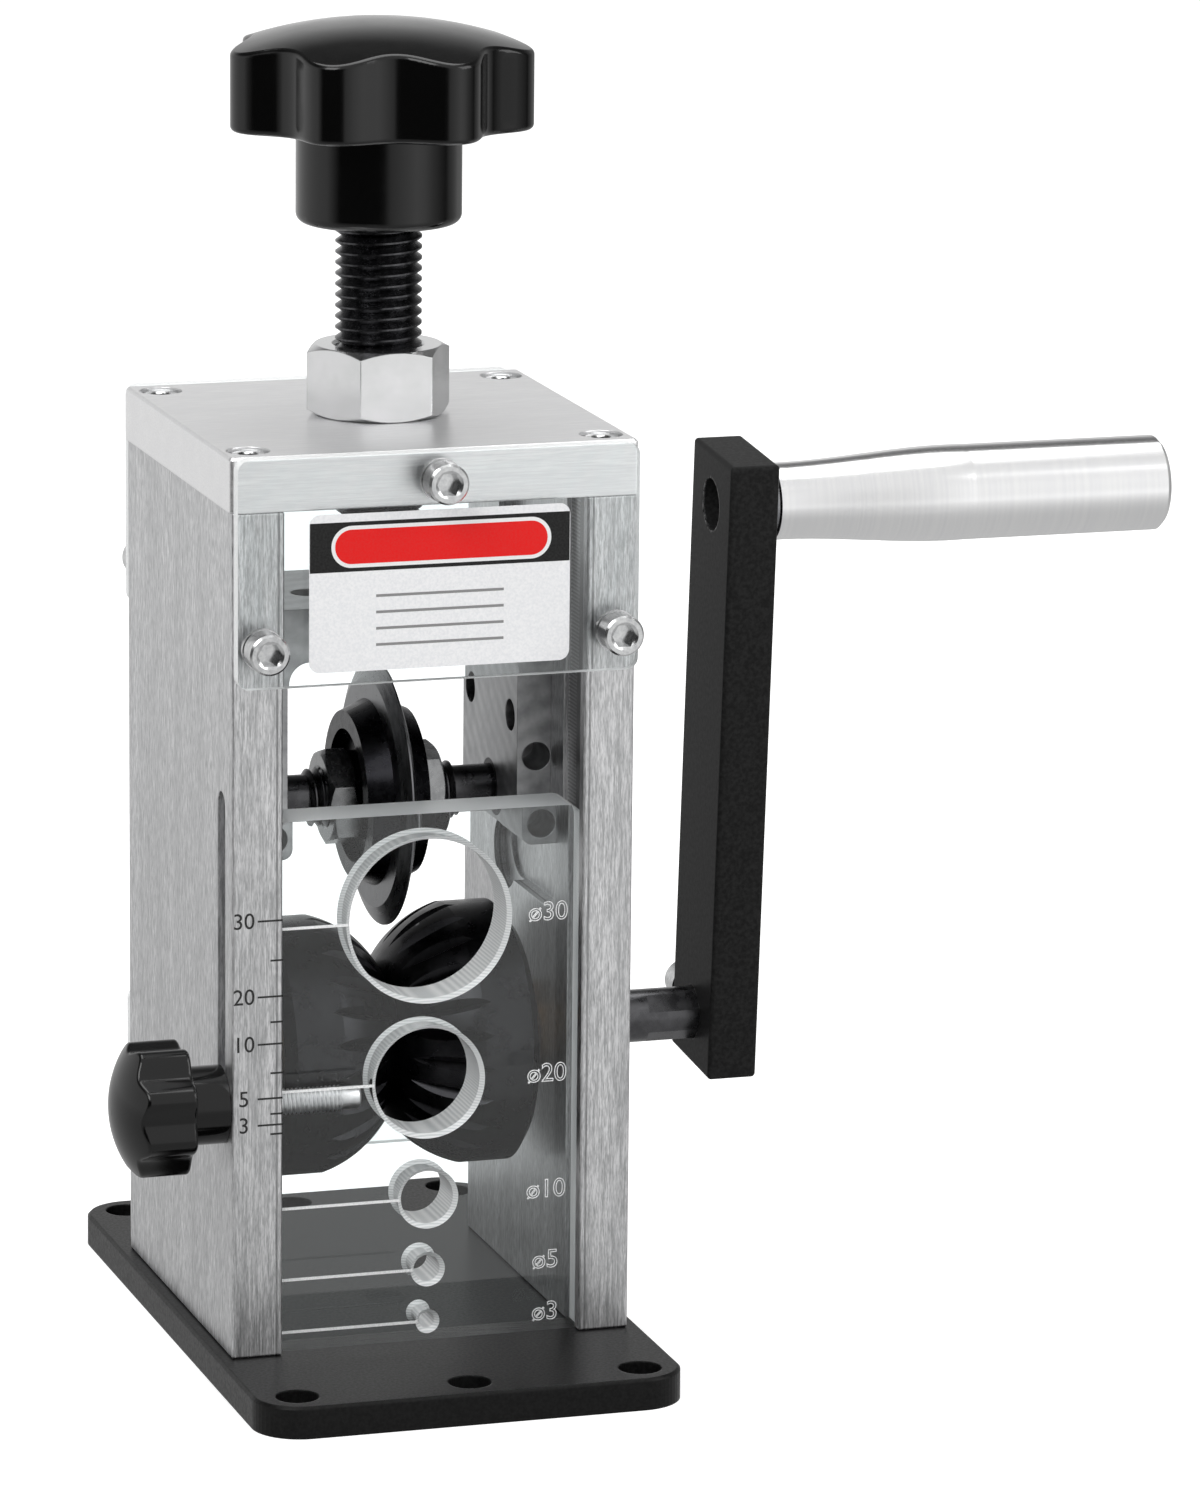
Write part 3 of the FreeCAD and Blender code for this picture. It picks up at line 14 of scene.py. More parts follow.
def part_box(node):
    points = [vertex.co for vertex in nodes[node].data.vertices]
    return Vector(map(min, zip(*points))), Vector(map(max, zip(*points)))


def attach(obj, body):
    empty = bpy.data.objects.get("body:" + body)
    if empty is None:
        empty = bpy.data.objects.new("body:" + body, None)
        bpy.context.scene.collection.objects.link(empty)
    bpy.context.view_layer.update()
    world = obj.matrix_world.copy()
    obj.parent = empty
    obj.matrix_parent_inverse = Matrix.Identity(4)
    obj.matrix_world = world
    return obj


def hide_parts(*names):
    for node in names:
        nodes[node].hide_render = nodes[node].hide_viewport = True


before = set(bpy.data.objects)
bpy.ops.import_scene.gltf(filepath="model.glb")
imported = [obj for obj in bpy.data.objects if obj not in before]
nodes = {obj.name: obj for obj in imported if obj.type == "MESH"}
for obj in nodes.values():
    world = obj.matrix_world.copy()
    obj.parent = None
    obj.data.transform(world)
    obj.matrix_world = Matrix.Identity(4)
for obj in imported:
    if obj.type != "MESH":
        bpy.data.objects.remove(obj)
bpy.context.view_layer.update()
MM = 0.001

# %% [markdown]
# ## The camera
# A long lens from far away keeps the uprights nearly parallel, as product pictures have them.
# The camera stands to the left of the front and a little above it. Its direction is worked out
# from three angles, so that one number can be changed at a time.

# %% Camera
CAMERA_TURN = math.radians(-17.63)
CAMERA_RISE = math.radians(12.74)
CAMERA_ROLL = math.radians(0.58)
CAMERA_DISTANCE = 1492 * MM
CAMERA_TARGET = Vector((43.65, 0.0, 107.51)) * MM
LENS_MM = 190.4
SENSOR_MM = 36

forward = Vector((-math.sin(CAMERA_TURN) * math.cos(CAMERA_RISE),
                  math.cos(CAMERA_TURN) * math.cos(CAMERA_RISE),
                  -math.sin(CAMERA_RISE)))
right = forward.cross(Vector((0, 0, 1))).normalized()
up = right.cross(forward)
rolled_right = right * math.cos(CAMERA_ROLL) + up * math.sin(CAMERA_ROLL)
rolled_up = up * math.cos(CAMERA_ROLL) - right * math.sin(CAMERA_ROLL)
camera_data = bpy.data.cameras.new("camera")
camera_data.lens = LENS_MM
camera_data.sensor_width = SENSOR_MM
camera_data.clip_start = 50 * MM
camera = bpy.data.objects.new("camera", camera_data)
bpy.context.scene.collection.objects.link(camera)
camera.matrix_world = Matrix.Translation(CAMERA_TARGET - forward * CAMERA_DISTANCE) @ Matrix(
    (rolled_right, rolled_up, -forward)).transposed().to_4x4()
bpy.context.scene.camera = camera
print("camera stands at", [round(v, 3) for v in camera.matrix_world.translation])

# %% [markdown]
# ## Helpers for finishes
# Colours are written as sRGB hex values, as a paint program shows them, and Blender's nodes
# want linear light, so one function converts them. A second one adds a node and links it.
# The others make the few patterns that many finishes share: grain, a spread of values, a mix
# of two colours and a bump. Each pattern reads the piece's own coordinates, so it moves with it.

# %% Colour and node helpers
def srgb(hex_colour):
    """Linear RGBA from an sRGB hex value such as "#c0c0c0"."""
    digits = hex_colour.lstrip("#")
    channels = [int(digits[i:i + 2], 16) / 255 for i in (0, 2, 4)]
    linear = [c / 12.92 if c <= 0.04045 else ((c + 0.055) / 1.055) ** 2.4 for c in channels]
    return (*linear, 1.0)


def add(tree, kind, settings=None, inputs=None):
    """Add one node. Settings are its properties, and inputs are values or other nodes' outputs."""
    node = tree.nodes.new(kind)
    for name, value in (settings or {}).items():
        setattr(node, name, value)
    for name, value in (inputs or {}).items():
        if isinstance(value, bpy.types.NodeSocket):
            tree.links.new(value, node.inputs[name])
        else:
            node.inputs[name].default_value = value
    return node


def new_finish(name):
    """An empty material and its node tree."""
    material = bpy.data.materials.new(name)
    material.use_nodes = True
    material.node_tree.nodes.clear()
    return material, material.node_tree


def surface(tree, inputs):
    """Finish a tree with one Principled shader."""
    shader = add(tree, "ShaderNodeBsdfPrincipled", None, inputs)
    add(tree, "ShaderNodeOutputMaterial", None, {"Surface": shader.outputs["BSDF"]})
    return shader


def grain(tree, size_mm, detail=4.0, centre_mm=(0, 0, 0), turn=(0, 0, 0)):
    """Noise whose cells measure size_mm along X, Y and Z of the piece."""
    place = add(tree, "ShaderNodeTexCoord").outputs["Object"]
    moved = add(tree, "ShaderNodeMapping", {"vector_type": "TEXTURE"}, {
        "Vector": place,
        "Location": [c * MM for c in centre_mm],
        "Rotation": turn,
        "Scale": [s * MM for s in size_mm]})
    noise = add(tree, "ShaderNodeTexNoise", None, {
        "Vector": moved.outputs["Vector"], "Scale": 1.0, "Detail": detail, "Roughness": 0.6})
    return noise.outputs["Fac"]


def spread(tree, value, low, high, start=0.35, stop=0.65):
    """Map the useful middle of a pattern to a range of numbers."""
    made = add(tree, "ShaderNodeMapRange", None, {
        "Value": value, "From Min": start, "From Max": stop, "To Min": low, "To Max": high})
    return made.outputs["Result"]


def blend_colours(tree, factor, first, second):
    """Mix two hex colours, or sockets, by a factor."""
    made = add(tree, "ShaderNodeMix", {"data_type": "RGBA"}, {
        "Factor": factor,
        6: srgb(first) if isinstance(first, str) else first,
        7: srgb(second) if isinstance(second, str) else second})
    return made.outputs[2]


def bump(tree, height, depth_mm, strength=1.0, flat=False, edge_mm=0.0):
    """A normal from a height pattern, where depth_mm is the height of its full range.

    A flat piece starts from its true normals, because normals smoothed over its rounded edges
    lean a little on its flat faces, and that shows in mirrored and bent rays. Its edges can be
    shaded as if they were rounded by edge_mm, so that they catch the light as worked edges do.
    """
    inputs = {"Height": height, "Strength": strength, "Distance": depth_mm * MM}
    if flat:
        inputs["Normal"] = add(tree, "ShaderNodeNewGeometry").outputs["True Normal"]
    if edge_mm:
        inputs["Normal"] = add(tree, "ShaderNodeBevel", {"samples": 6}, {
            "Radius": edge_mm * MM, "Normal": inputs["Normal"]}).outputs["Normal"]
    return add(tree, "ShaderNodeBump", None, inputs).outputs["Normal"]


def dress(material, *names):
    """Give a finish to CAD nodes through their own material slots."""
    for name in names:
        mesh = nodes[name].data
        if not mesh.materials:
            mesh.materials.append(material)
        for i in range(len(mesh.materials)):
            mesh.materials[i] = material
    print(material.name, "on", ", ".join(names))


print("the sRGB colour #808080 gives back", round(srgb("#808080")[0], 3), "of the light")

# %% [markdown]
# ## Light and floor
# The tool stands on a white table in a bright room. Lamps give soft light from three sides.
# The background is white for the camera, and what shiny metal sees of the room changes by
# compass direction, bright where a white wall would be and dark where the room is open. Without
# such dark places, polished metal and gloss plastic look flat.

# %% Room pattern and world
ROOM_STOPS = (   # degrees from the front towards the right, brightness
    (-180, 0.75), (-132, 0.8), (-92, 0.85), (-72, 0.04), (-16, 0.04), (-8, 0.1),
    (0, 0.65), (18, 0.95), (38, 1.3), (50, 1.1), (64, 0.6), (79, 0.25), (90, 0.08),
    (97, 0.3), (125, 0.5), (136, 0.3), (150, 0.35), (163, 0.8), (180, 0.75))
FRONT_WALL = 0.88             # brightness of the high wall in front, and of the one behind
REAR_WALL = 0.12
FRONT_FADE = (-0.35, 0.1)     # how far back a ray looks, where the one turns into the other
WALL_FADE = (0.3, 0.55)       # how steeply it looks up, from the low wall to the high one
CEILING_FADE = (0.8, 0.95)    # and from the high wall to the lit ceiling


def room_brightness(tree, direction):
    """Brightness of the room by compass direction."""
    parts = add(tree, "ShaderNodeSeparateXYZ", None, {"Vector": direction})
    ahead = add(tree, "ShaderNodeMath", {"operation": "MULTIPLY"}, {0: parts.outputs["Y"], 1: -1.0})
    angle = add(tree, "ShaderNodeMath", {"operation": "ARCTAN2"}, {
        0: parts.outputs["X"], 1: ahead.outputs[0]})
    share = add(tree, "ShaderNodeMapRange", None, {
        "Value": angle.outputs[0], "From Min": -math.pi, "From Max": math.pi})
    ramp = add(tree, "ShaderNodeValToRGB", None, {"Fac": share.outputs["Result"]})
    stops = ramp.color_ramp.elements
    stops.remove(stops[1])
    for number, (degrees, level) in enumerate(ROOM_STOPS):
        place = (degrees + 180) / 360
        stop = stops.new(place) if number else stops[0]
        stop.color = (level, level, level, 1)
    return ramp.outputs["Color"]


def ray_kinds(tree):
    """How far a ray shows the backdrop to the eye, and how far it is a mirrored one.

    A ray that was bent by clear acrylic counts as glossy too, so it is taken out of those.
    """
    path = add(tree, "ShaderNodeLightPath")
    seen = add(tree, "ShaderNodeMath", {"operation": "MAXIMUM"}, {
        0: path.outputs["Is Camera Ray"], 1: path.outputs["Is Transmission Ray"]})
    mirrored = add(tree, "ShaderNodeMath", {"operation": "SUBTRACT", "use_clamp": True}, {
        0: path.outputs["Is Glossy Ray"], 1: path.outputs["Is Transmission Ray"]})
    return seen.outputs[0], mirrored.outputs[0]


AMBIENT = 0.55
world = bpy.data.worlds.new("room")
bpy.context.scene.world = world
world.use_nodes = True
tree = world.node_tree
tree.nodes.clear()
seen, mirrored = ray_kinds(tree)
direction = add(tree, "ShaderNodeTexCoord").outputs["Generated"]
sides = add(tree, "ShaderNodeSeparateXYZ", None, {"Vector": direction})
level = sides.outputs["Z"]
high_wall = spread(tree, sides.outputs["Y"], FRONT_WALL, REAR_WALL, *FRONT_FADE)
low_wall = room_brightness(tree, direction)
wall = blend_colours(tree, spread(tree, level, 0.0, 1.0, *WALL_FADE), low_wall, high_wall)
ceiling = spread(tree, level, 0.0, 1.0, *CEILING_FADE)
room = blend_colours(tree, ceiling, wall, "#f0f0f0")
plain = add(tree, "ShaderNodeBackground", None, {"Color": (1, 1, 1, 1), "Strength": AMBIENT})
shiny = add(tree, "ShaderNodeBackground", None, {"Color": room, "Strength": 1.0})
white = add(tree, "ShaderNodeBackground", None, {"Color": (1, 1, 1, 1), "Strength": 1.0})
first = add(tree, "ShaderNodeMixShader", None, {"Fac": mirrored, 1: plain.outputs[0], 2: shiny.outputs[0]})
second = add(tree, "ShaderNodeMixShader", None, {"Fac": seen, 1: first.outputs[0], 2: white.outputs[0]})
add(tree, "ShaderNodeOutputWorld", None, {"Surface": second.outputs[0]})
bpy.context.scene.view_settings.view_transform = "Standard"
print("the room has", len(ROOM_STOPS), "steps of brightness round it")

# %% [markdown]
# ## Lamps
# Three large square lamps make the light. Large lamps throw soft shadows. Each one stands at a
# listed place and is turned to look at the middle of the tool.

# %% Lamps
LAMP_AIM = Vector((0.03, 0, 0.1))
LAMPS = {   # name: place in m, size in m, power in W
    "key": ((-1.1, -1.0, 1.5), 1.1, 15.0),
    "fill": ((1.5, -0.9, 1.1), 1.2, 10.0),
    "top": ((0.1, 0.4, 1.9), 1.4, 16.0),
}
for name, (place, size, power) in LAMPS.items():
    lamp = bpy.data.lights.new(name, "AREA")
    lamp.size = size
    lamp.energy = power
    holder = bpy.data.objects.new(name, lamp)
    holder.location = place
    holder.rotation_euler = (LAMP_AIM - Vector(place)).to_track_quat("-Z", "Y").to_euler()
    bpy.context.scene.collection.objects.link(holder)
print("lamps:", ", ".join(LAMPS))

# %% [markdown]
# ## Floor
# The table is one large plane. It takes the tool's shadow as a plain pale surface does, and
# glows a little for the eye so that it blends into the white background. Polished metal sees
# another table: plain grey near the tool, and the room's pattern further away.

# %% Floor
FLOOR_HALF = 8.0
FLOOR_FADE = (0.2, 0.85)     # m from the tool, where the near table turns into the room
FLOOR_GLOW = 0.6
bpy.ops.object.select_all(action="DESELECT")
bpy.ops.mesh.primitive_plane_add(size=2 * FLOOR_HALF, location=(0, 0, 0))
floor = bpy.context.object
floor.name = "floor"
floor_finish, tree = new_finish("white_table")
seen, mirrored = ray_kinds(tree)
place = add(tree, "ShaderNodeTexCoord").outputs["Object"]
away = add(tree, "ShaderNodeVectorMath", {"operation": "LENGTH"}, {0: place}).outputs["Value"]
far = spread(tree, away, 0.0, 1.0, *FLOOR_FADE)
pattern = blend_colours(tree, far, "#c6c6c6", room_brightness(tree, place))
strength = add(tree, "ShaderNodeMath", {"operation": "MULTIPLY"}, {0: seen, 1: FLOOR_GLOW})
lit = add(tree, "ShaderNodeBsdfDiffuse", None, {"Color": srgb("#d8d8d8")})
own = add(tree, "ShaderNodeEmission", None, {"Color": srgb("#ffffff"), "Strength": strength.outputs[0]})
both = add(tree, "ShaderNodeAddShader", None, {0: lit.outputs[0], 1: own.outputs[0]})
in_metal = add(tree, "ShaderNodeEmission", None, {"Color": pattern, "Strength": 1.0})
floor_shader = add(tree, "ShaderNodeMixShader", None, {
    "Fac": mirrored, 1: both.outputs[0], 2: in_metal.outputs[0]})
add(tree, "ShaderNodeOutputMaterial", None, {"Surface": floor_shader.outputs[0]})
floor.data.materials.append(floor_finish)
print("floor", 2 * FLOOR_HALF, "m wide")

# %% [markdown]
# ## Brushed aluminium
# The plates are cut from aluminium bar and brushed with an abrasive belt, which leaves fine
# lines one way. They could be a picture, but noise that is stretched along the belt's run, 26
# times, or 9 times on the posts' wide faces, gives such lines at any size. It changes the
# colour a little and the roughness more, and a slight bump breaks the shine. The cutter that
# made the posts' slots for the guide left short ribs on their floors.
# The slots' floors are darkened as painted shade.

# %% Shares and bands
def side_share(tree):
    """1 on faces that look left or right, and 0 on those that look forwards or up."""
    normal = add(tree, "ShaderNodeTexCoord").outputs["Normal"]
    across = add(tree, "ShaderNodeSeparateXYZ", None, {"Vector": normal}).outputs["X"]
    return add(tree, "ShaderNodeMath", {"operation": "ABSOLUTE"}, {0: across}).outputs[0]


def within(tree, value, middle, reach):
    """1 where a length lies within a reach, in mm, of the middle."""
    return add(tree, "ShaderNodeMath", {"operation": "COMPARE"}, {
        0: value, 1: middle * MM, 2: reach * MM}).outputs[0]


def product(tree, first, second):
    """Two factors multiplied, such as two shares that both have to hold."""
    return add(tree, "ShaderNodeMath", {"operation": "MULTIPLY"}, {0: first, 1: second}).outputs[0]


BAND_SCALE = 0.1 * math.pi       # a wave texture's scale for one band in a metre


def bands(tree, pitch_mm, distortion=0.0):
    """Level ridges, one every pitch_mm up the piece."""
    place = add(tree, "ShaderNodeTexCoord").outputs["Object"]
    wave = add(tree, "ShaderNodeTexWave", {"bands_direction": "Z"}, {
        "Vector": place, "Scale": BAND_SCALE / (pitch_mm * MM), "Distortion": distortion})
    return wave.outputs["Fac"]


print("a wave with scale 1 has", round(1 / BAND_SCALE, 2), "bands in a metre")

# %% Brushed aluminium
BELT_LINE = 0.35     # mm, drawn a little coarser than the real lines so that they show
BELT_RUN = 9.0
FACE_RUN = 3.2
SLOT_FLOOR = 29.6    # mm from the middle to the floor of a post's slot
SLOT_FLOOR_REACH = 0.2
SLOT_RIBS_Y = -27.6
SLOT_RIBS_REACH = 2.3
SLOT_PITCH = 0.72
FINE_SHARE = 0.55    # size of the fine grain, as a share of the belt lines'
CLOUD_SHARE = 14     # and size of the slow clouds over them
LINE_CONTRAST = (0.14, 0.36)


def brushed_aluminium(name, grain_mm, face_grain_mm, dark, light, roughness, slot=False):
    """Belt lines, with a run of their own on faces that look sideways, and cutter marks and painted shade
    in a slot.
    """
    material, tree = new_finish(name)
    wide = side_share(tree)
    lines = blend_colours(tree, wide, grain(tree, grain_mm, 3.0), grain(tree, face_grain_mm, 3.0))
    fine = grain(tree, [FINE_SHARE * g for g in face_grain_mm], 2.0)
    cloud = grain(tree, [g * CLOUD_SHARE for g in grain_mm], 2.0)
    contrast = spread(tree, product(tree, lines, fine), 0.0, 1.0, *LINE_CONTRAST)
    tone = blend_colours(tree, contrast, dark, light)
    tone = blend_colours(tree, spread(tree, cloud, 0.0, 0.3), tone, dark)
    if slot:
        place = add(tree, "ShaderNodeSeparateXYZ", None, {
            "Vector": add(tree, "ShaderNodeTexCoord").outputs["Object"]})
        depth = add(tree, "ShaderNodeMath", {"operation": "ABSOLUTE"}, {0: place.outputs["X"]}).outputs[0]
        floor_share = within(tree, depth, SLOT_FLOOR, SLOT_FLOOR_REACH)
        ribs = within(tree, place.outputs["Y"], SLOT_RIBS_Y, SLOT_RIBS_REACH)
        ribbed = product(tree, ribs, bands(tree, SLOT_PITCH, 0.3))
        # Painted shade: the slot's floor is darkened, as shade falls in the recess.
        tone = blend_colours(tree, product(tree, floor_share, 0.5), tone, "#3c3c3e")
        tone = blend_colours(tree, product(tree, floor_share, product(tree, ribbed, 0.7)), tone, "#d0d0d1")
    surface(tree, {
        "Base Color": tone,
        "Metallic": 1.0,
        "Roughness": spread(tree, lines, roughness - 0.05, roughness + 0.1),
        "Normal": bump(tree, lines, 0.02, 0.5, flat=True, edge_mm=0.35)})
    return material


upright_aluminium = brushed_aluminium(
    "brushed_aluminium_upright", (BELT_LINE, BELT_LINE, BELT_RUN), (BELT_LINE, BELT_LINE, FACE_RUN),
    "#b0b1b2", "#f4f4f5", 0.38, slot=True)
across_aluminium = brushed_aluminium(
    "brushed_aluminium_across", (BELT_RUN, BELT_LINE, BELT_LINE), (BELT_RUN, BELT_LINE, BELT_LINE),
    "#eeeeef", "#ffffff", 0.34)
dress(upright_aluminium, "side_plate_left", "side_plate_right")
dress(across_aluminium, "top_plate")

# %% [markdown]
# ## Milled aluminium
# The yoke is milled from a block, and the round cutter leaves arcs on its faces. They are too
# shallow to be worth modelling, so a pattern makes them. Rings round a far point give arcs
# that are almost parallel, and a little distortion makes them uneven.

# %% Milled aluminium
MILL_CENTRE = (0.0, 0.06, -0.19)   # m, added to a place, so the arcs' centre is the other way
MILL_RINGS = 90.0                  # the wave's scale: an arc about every 3.5 mm


def milled_aluminium(name):
    """Slanting arcs, dark in their bottoms, over a cloudy tone."""
    material, tree = new_finish(name)
    place = add(tree, "ShaderNodeTexCoord").outputs["Object"]
    marks = add(tree, "ShaderNodeTexWave", {"wave_type": "RINGS", "rings_direction": "SPHERICAL"}, {
        "Vector": add(tree, "ShaderNodeMapping", None, {
            "Vector": place, "Location": MILL_CENTRE}).outputs["Vector"],
        "Scale": MILL_RINGS, "Distortion": 0.8, "Detail": 2.0, "Detail Scale": 1.5})
    smear = grain(tree, (5.0, 5.0, 5.0), 3.0)
    tone = blend_colours(tree, spread(tree, smear, 0.0, 1.0), "#98999b", "#c2c3c4")
    bottoms = spread(tree, marks.outputs["Fac"], 0.0, 0.25, 0, 1)
    surface(tree, {
        "Base Color": blend_colours(tree, bottoms, tone, "#6d6e70"),
        "Metallic": 1.0,
        "Roughness": spread(tree, smear, 0.32, 0.45),
        "Normal": bump(tree, marks.outputs["Fac"], 0.02, 0.4, flat=True, edge_mm=0.3)})
    return material


dress(milled_aluminium("milled_aluminium"), "yoke")

# %% [markdown]
# ## Polished aluminium
# The handle is turned on a lathe and buffed, so it mirrors the room. A plain mirror would do,
# but faint rings of the turning are left on it, and they make the shine believable. They are
# noise that is 100 times as wide as it is long, with hardly any bump.

# %% Polished aluminium
def polished_aluminium(name):
    """Faint rings round the handle's axis, under a mirror shine."""
    material, tree = new_finish(name)
    rings = grain(tree, (0.6, 60.0, 60.0), 2.0)
    surface(tree, {
        "Base Color": blend_colours(tree, spread(tree, rings, 0.0, 1.0), "#ebebec", "#efefef"),
        "Metallic": 1.0,
        "Roughness": 0.2,
        "Normal": bump(tree, rings, 0.001, 0.05)})
    return material


dress(polished_aluminium("polished_aluminium"), "crank_grip")

# %% [markdown]
# ## Steel
# Screws and nuts are plated and bright, so they take a smooth metal with faint turning marks.
# The rollers, spindle and flanges are blackened, which is a dark oxide over steel: still a
# metal, but with a very dark colour. They could all be one material with one colour each, but
# one function with a few numbers lets each piece have its own shine too.

# %% Steel finishes
STEEL_EDGE = 0.3     # mm, how far a flat piece's edges look rounded


def steel(name, dark, light, roughness, grain_mm=(1.2, 1.2, 1.2), flat=False):
    """A cloudy metal, darker and smoother in one part of the grain than in the other."""
    material, tree = new_finish(name)
    cloud = grain(tree, grain_mm, 4.0)
    surface(tree, {
        "Base Color": blend_colours(tree, spread(tree, cloud, 0.0, 1.0), dark, light),
        "Metallic": 1.0,
        "Roughness": spread(tree, cloud, roughness * 0.85, roughness * 1.2),
        "Normal": bump(tree, cloud, 0.003, 0.3, flat, STEEL_EDGE if flat else 0.0)})
    return material


bright = steel("plated_steel", "#c4c5c6", "#dcdddd", 0.2)
nut_bright = steel("plated_nut_steel", "#dfe0e0", "#eaeaeb", 0.22, (9.0, 9.0, 9.0), flat=True)
axle_nut_steel = steel("oiled_nut_steel", "#8a8b8c", "#a6a7a8", 0.25, (2.0, 2.0, 2.0), flat=True)
blade_steel = steel("hardened_blade_steel", "#6c6d6f", "#8e8f91", 0.3, (0.3, 4.0, 4.0))
ground = steel("ground_steel", "#85868a", "#a9aaac", 0.25, (0.3, 4.0, 4.0))
black_oxide = steel("black_oxide_steel", "#3e3e40", "#5c5c5e", 0.24)
dark_steel = steel("oiled_dark_steel", "#525254", "#646466", 0.28, (3.0, 3.0, 3.0))
roller_oxide = steel("black_oxide_roller", "#242426", "#303032", 0.3, (3.0, 3.0, 3.0))
flange_oxide = steel("black_oxide_flange", "#222225", "#303033", 0.28, (2.0, 2.0, 2.0))
bronze = steel("sintered_bronze", "#7a5c34", "#a07a48", 0.4, (0.3, 0.3, 0.3))
sintered_iron = steel("sintered_iron", "#3c3c3e", "#58585a", 0.45, (0.3, 0.3, 0.3))
zinc = steel("zinc_plated_stud", "#e2e3e4", "#f4f4f5", 0.42)
dress(bright, "top_plate_screws", "base_screws", "front_shield_screws", "front_shield_washers",
      "rear_shield_screws", "rear_shield_washers", "rear_guard_screws", "rear_guard_washers",
      "arm_screw", "grip_washer", "grip_screw", "clamp_stud", "thrust_washer")
dress(nut_bright, "lock_nut")
dress(axle_nut_steel, "axle_nut_left", "axle_nut_right")
dress(ground, "roller_key", "roller_set_screw", "handle_pin", "spindle_retainer")
dress(dark_steel, "drive_shaft")
dress(blade_steel, "cutting_blade")
dress(black_oxide, "spindle", "cutter_axle")
dress(roller_oxide, "feed_roller_left", "feed_roller_right")
dress(flange_oxide, "blade_flange_left", "blade_flange_right")
dress(bronze, "roller_bush_left", "roller_bush_right", "roller_spacers")
dress(sintered_iron, "axle_bush_left", "axle_bush_right")

# %% [markdown]
# ## Black plastic
# Both knobs are moulded from phenolic plastic. It is nearly black and glossy, so all that the
# eye gets of it is the room's mirror image. On a perfectly smooth knob that image would look
# too clean, so a slight ripple, as a mould leaves it, bends it a little.

# %% Black plastic
def gloss_plastic(name):
    """Nearly black, and glossy over a slow ripple."""
    material, tree = new_finish(name)
    ripple = grain(tree, (6.0, 6.0, 6.0), 2.0)
    surface(tree, {
        "Base Color": srgb("#040404"),
        "IOR": 1.55,
        "Specular IOR Level": 0.36,
        "Roughness": spread(tree, ripple, 0.10, 0.16),
        "Normal": bump(tree, ripple, 0.02, 0.25)})
    return material


dress(gloss_plastic("gloss_phenolic"), "pressure_knob", "clamp_knob")

# %% [markdown]
# ## Powder coat
# The base plate is coated with powder that melts in an oven. It sets with a fine orange peel,
# about 0.6 mm across, which makes the shine soft. Modelling it would take millions of faces,
# so noise bends the shine instead. The coat runs thick over the plate's edges, so they are
# shaded as if they were rounded.

# %% Powder coat
def powder_coat(name):
    """Soft black with an orange peel."""
    material, tree = new_finish(name)
    peel = grain(tree, (0.6, 0.6, 0.6), 2.0)
    surface(tree, {
        "Base Color": blend_colours(tree, spread(tree, peel, 0.0, 1.0), "#0c0c0c", "#161616"),
        "Specular IOR Level": 0.16,
        "Roughness": spread(tree, peel, 0.28, 0.4),
        "Normal": bump(tree, peel, 0.03, 0.5, flat=True, edge_mm=0.5)})
    return material


dress(powder_coat("black_powder_coat"), "base_plate")

# %% [markdown]
# ## Enamel
# The crank's arm is brushed with enamel, which hands and the bench have rubbed thin on its
# edges. The grey along the edges is partly that wear and partly a painted highlight. An edge
# is found by a normal that is rounded on purpose: it leans away from the true normal near an
# edge and nowhere else. Noise breaks the grey line up.

# %% Enamel
WORN_HIGHLIGHT_REACH = 1.0           # mm from an edge
WORN_HIGHLIGHT_LEAN = (0.8, 0.97)


def edge_share(tree, reach_mm, start, stop):
    """1 near sharp edges, and 0 on faces."""
    true = add(tree, "ShaderNodeNewGeometry").outputs["True Normal"]
    rounded = add(tree, "ShaderNodeBevel", {"samples": 8}, {
        "Radius": reach_mm * MM, "Normal": true}).outputs["Normal"]
    lean = add(tree, "ShaderNodeVectorMath", {"operation": "DOT_PRODUCT"}, {
        0: true, 1: rounded}).outputs["Value"]
    return spread(tree, lean, 1.0, 0.0, start, stop)


def arm_paint(name):
    """Soft black, grey in places along the edges as rubbed wear and a painted highlight."""
    material, tree = new_finish(name)
    orange = grain(tree, (0.8, 0.8, 0.8), 2.0)
    broken = spread(tree, grain(tree, (0.7, 0.7, 5.0), 4.0), 0.0, 1.0, 0.45, 0.6)
    # Grey along the edges: partly rubbed wear, partly a painted highlight.
    worn_and_highlit = product(tree, edge_share(tree, WORN_HIGHLIGHT_REACH, *WORN_HIGHLIGHT_LEAN), broken)
    paint = blend_colours(tree, spread(tree, orange, 0.0, 1.0), "#1c1c1c", "#282828")
    surface(tree, {
        "Base Color": blend_colours(tree, worn_and_highlit, paint, "#8a8a8a"),
        "Specular IOR Level": 0.05,
        "Roughness": spread(tree, orange, 0.34, 0.46),
        "Normal": bump(tree, orange, 0.03, 0.4, flat=True, edge_mm=0.5)})
    return material


dress(arm_paint("black_enamel"), "crank_arm")

# %% [markdown]
# ## Clear acrylic
# The covers are cut from cast acrylic sheet and the guide from thick block. A renderer's glass
# stops the lamps' light, so what stands behind it would turn dark. Rays from lamps, and rays
# that have already bounced off something, therefore pass straight through, and only what the
# eye looks at through the acrylic is bent. Sawn and bored edges are dull and ribbed by the
# tool, so every face that doesn't look forwards or backwards gets that finish.

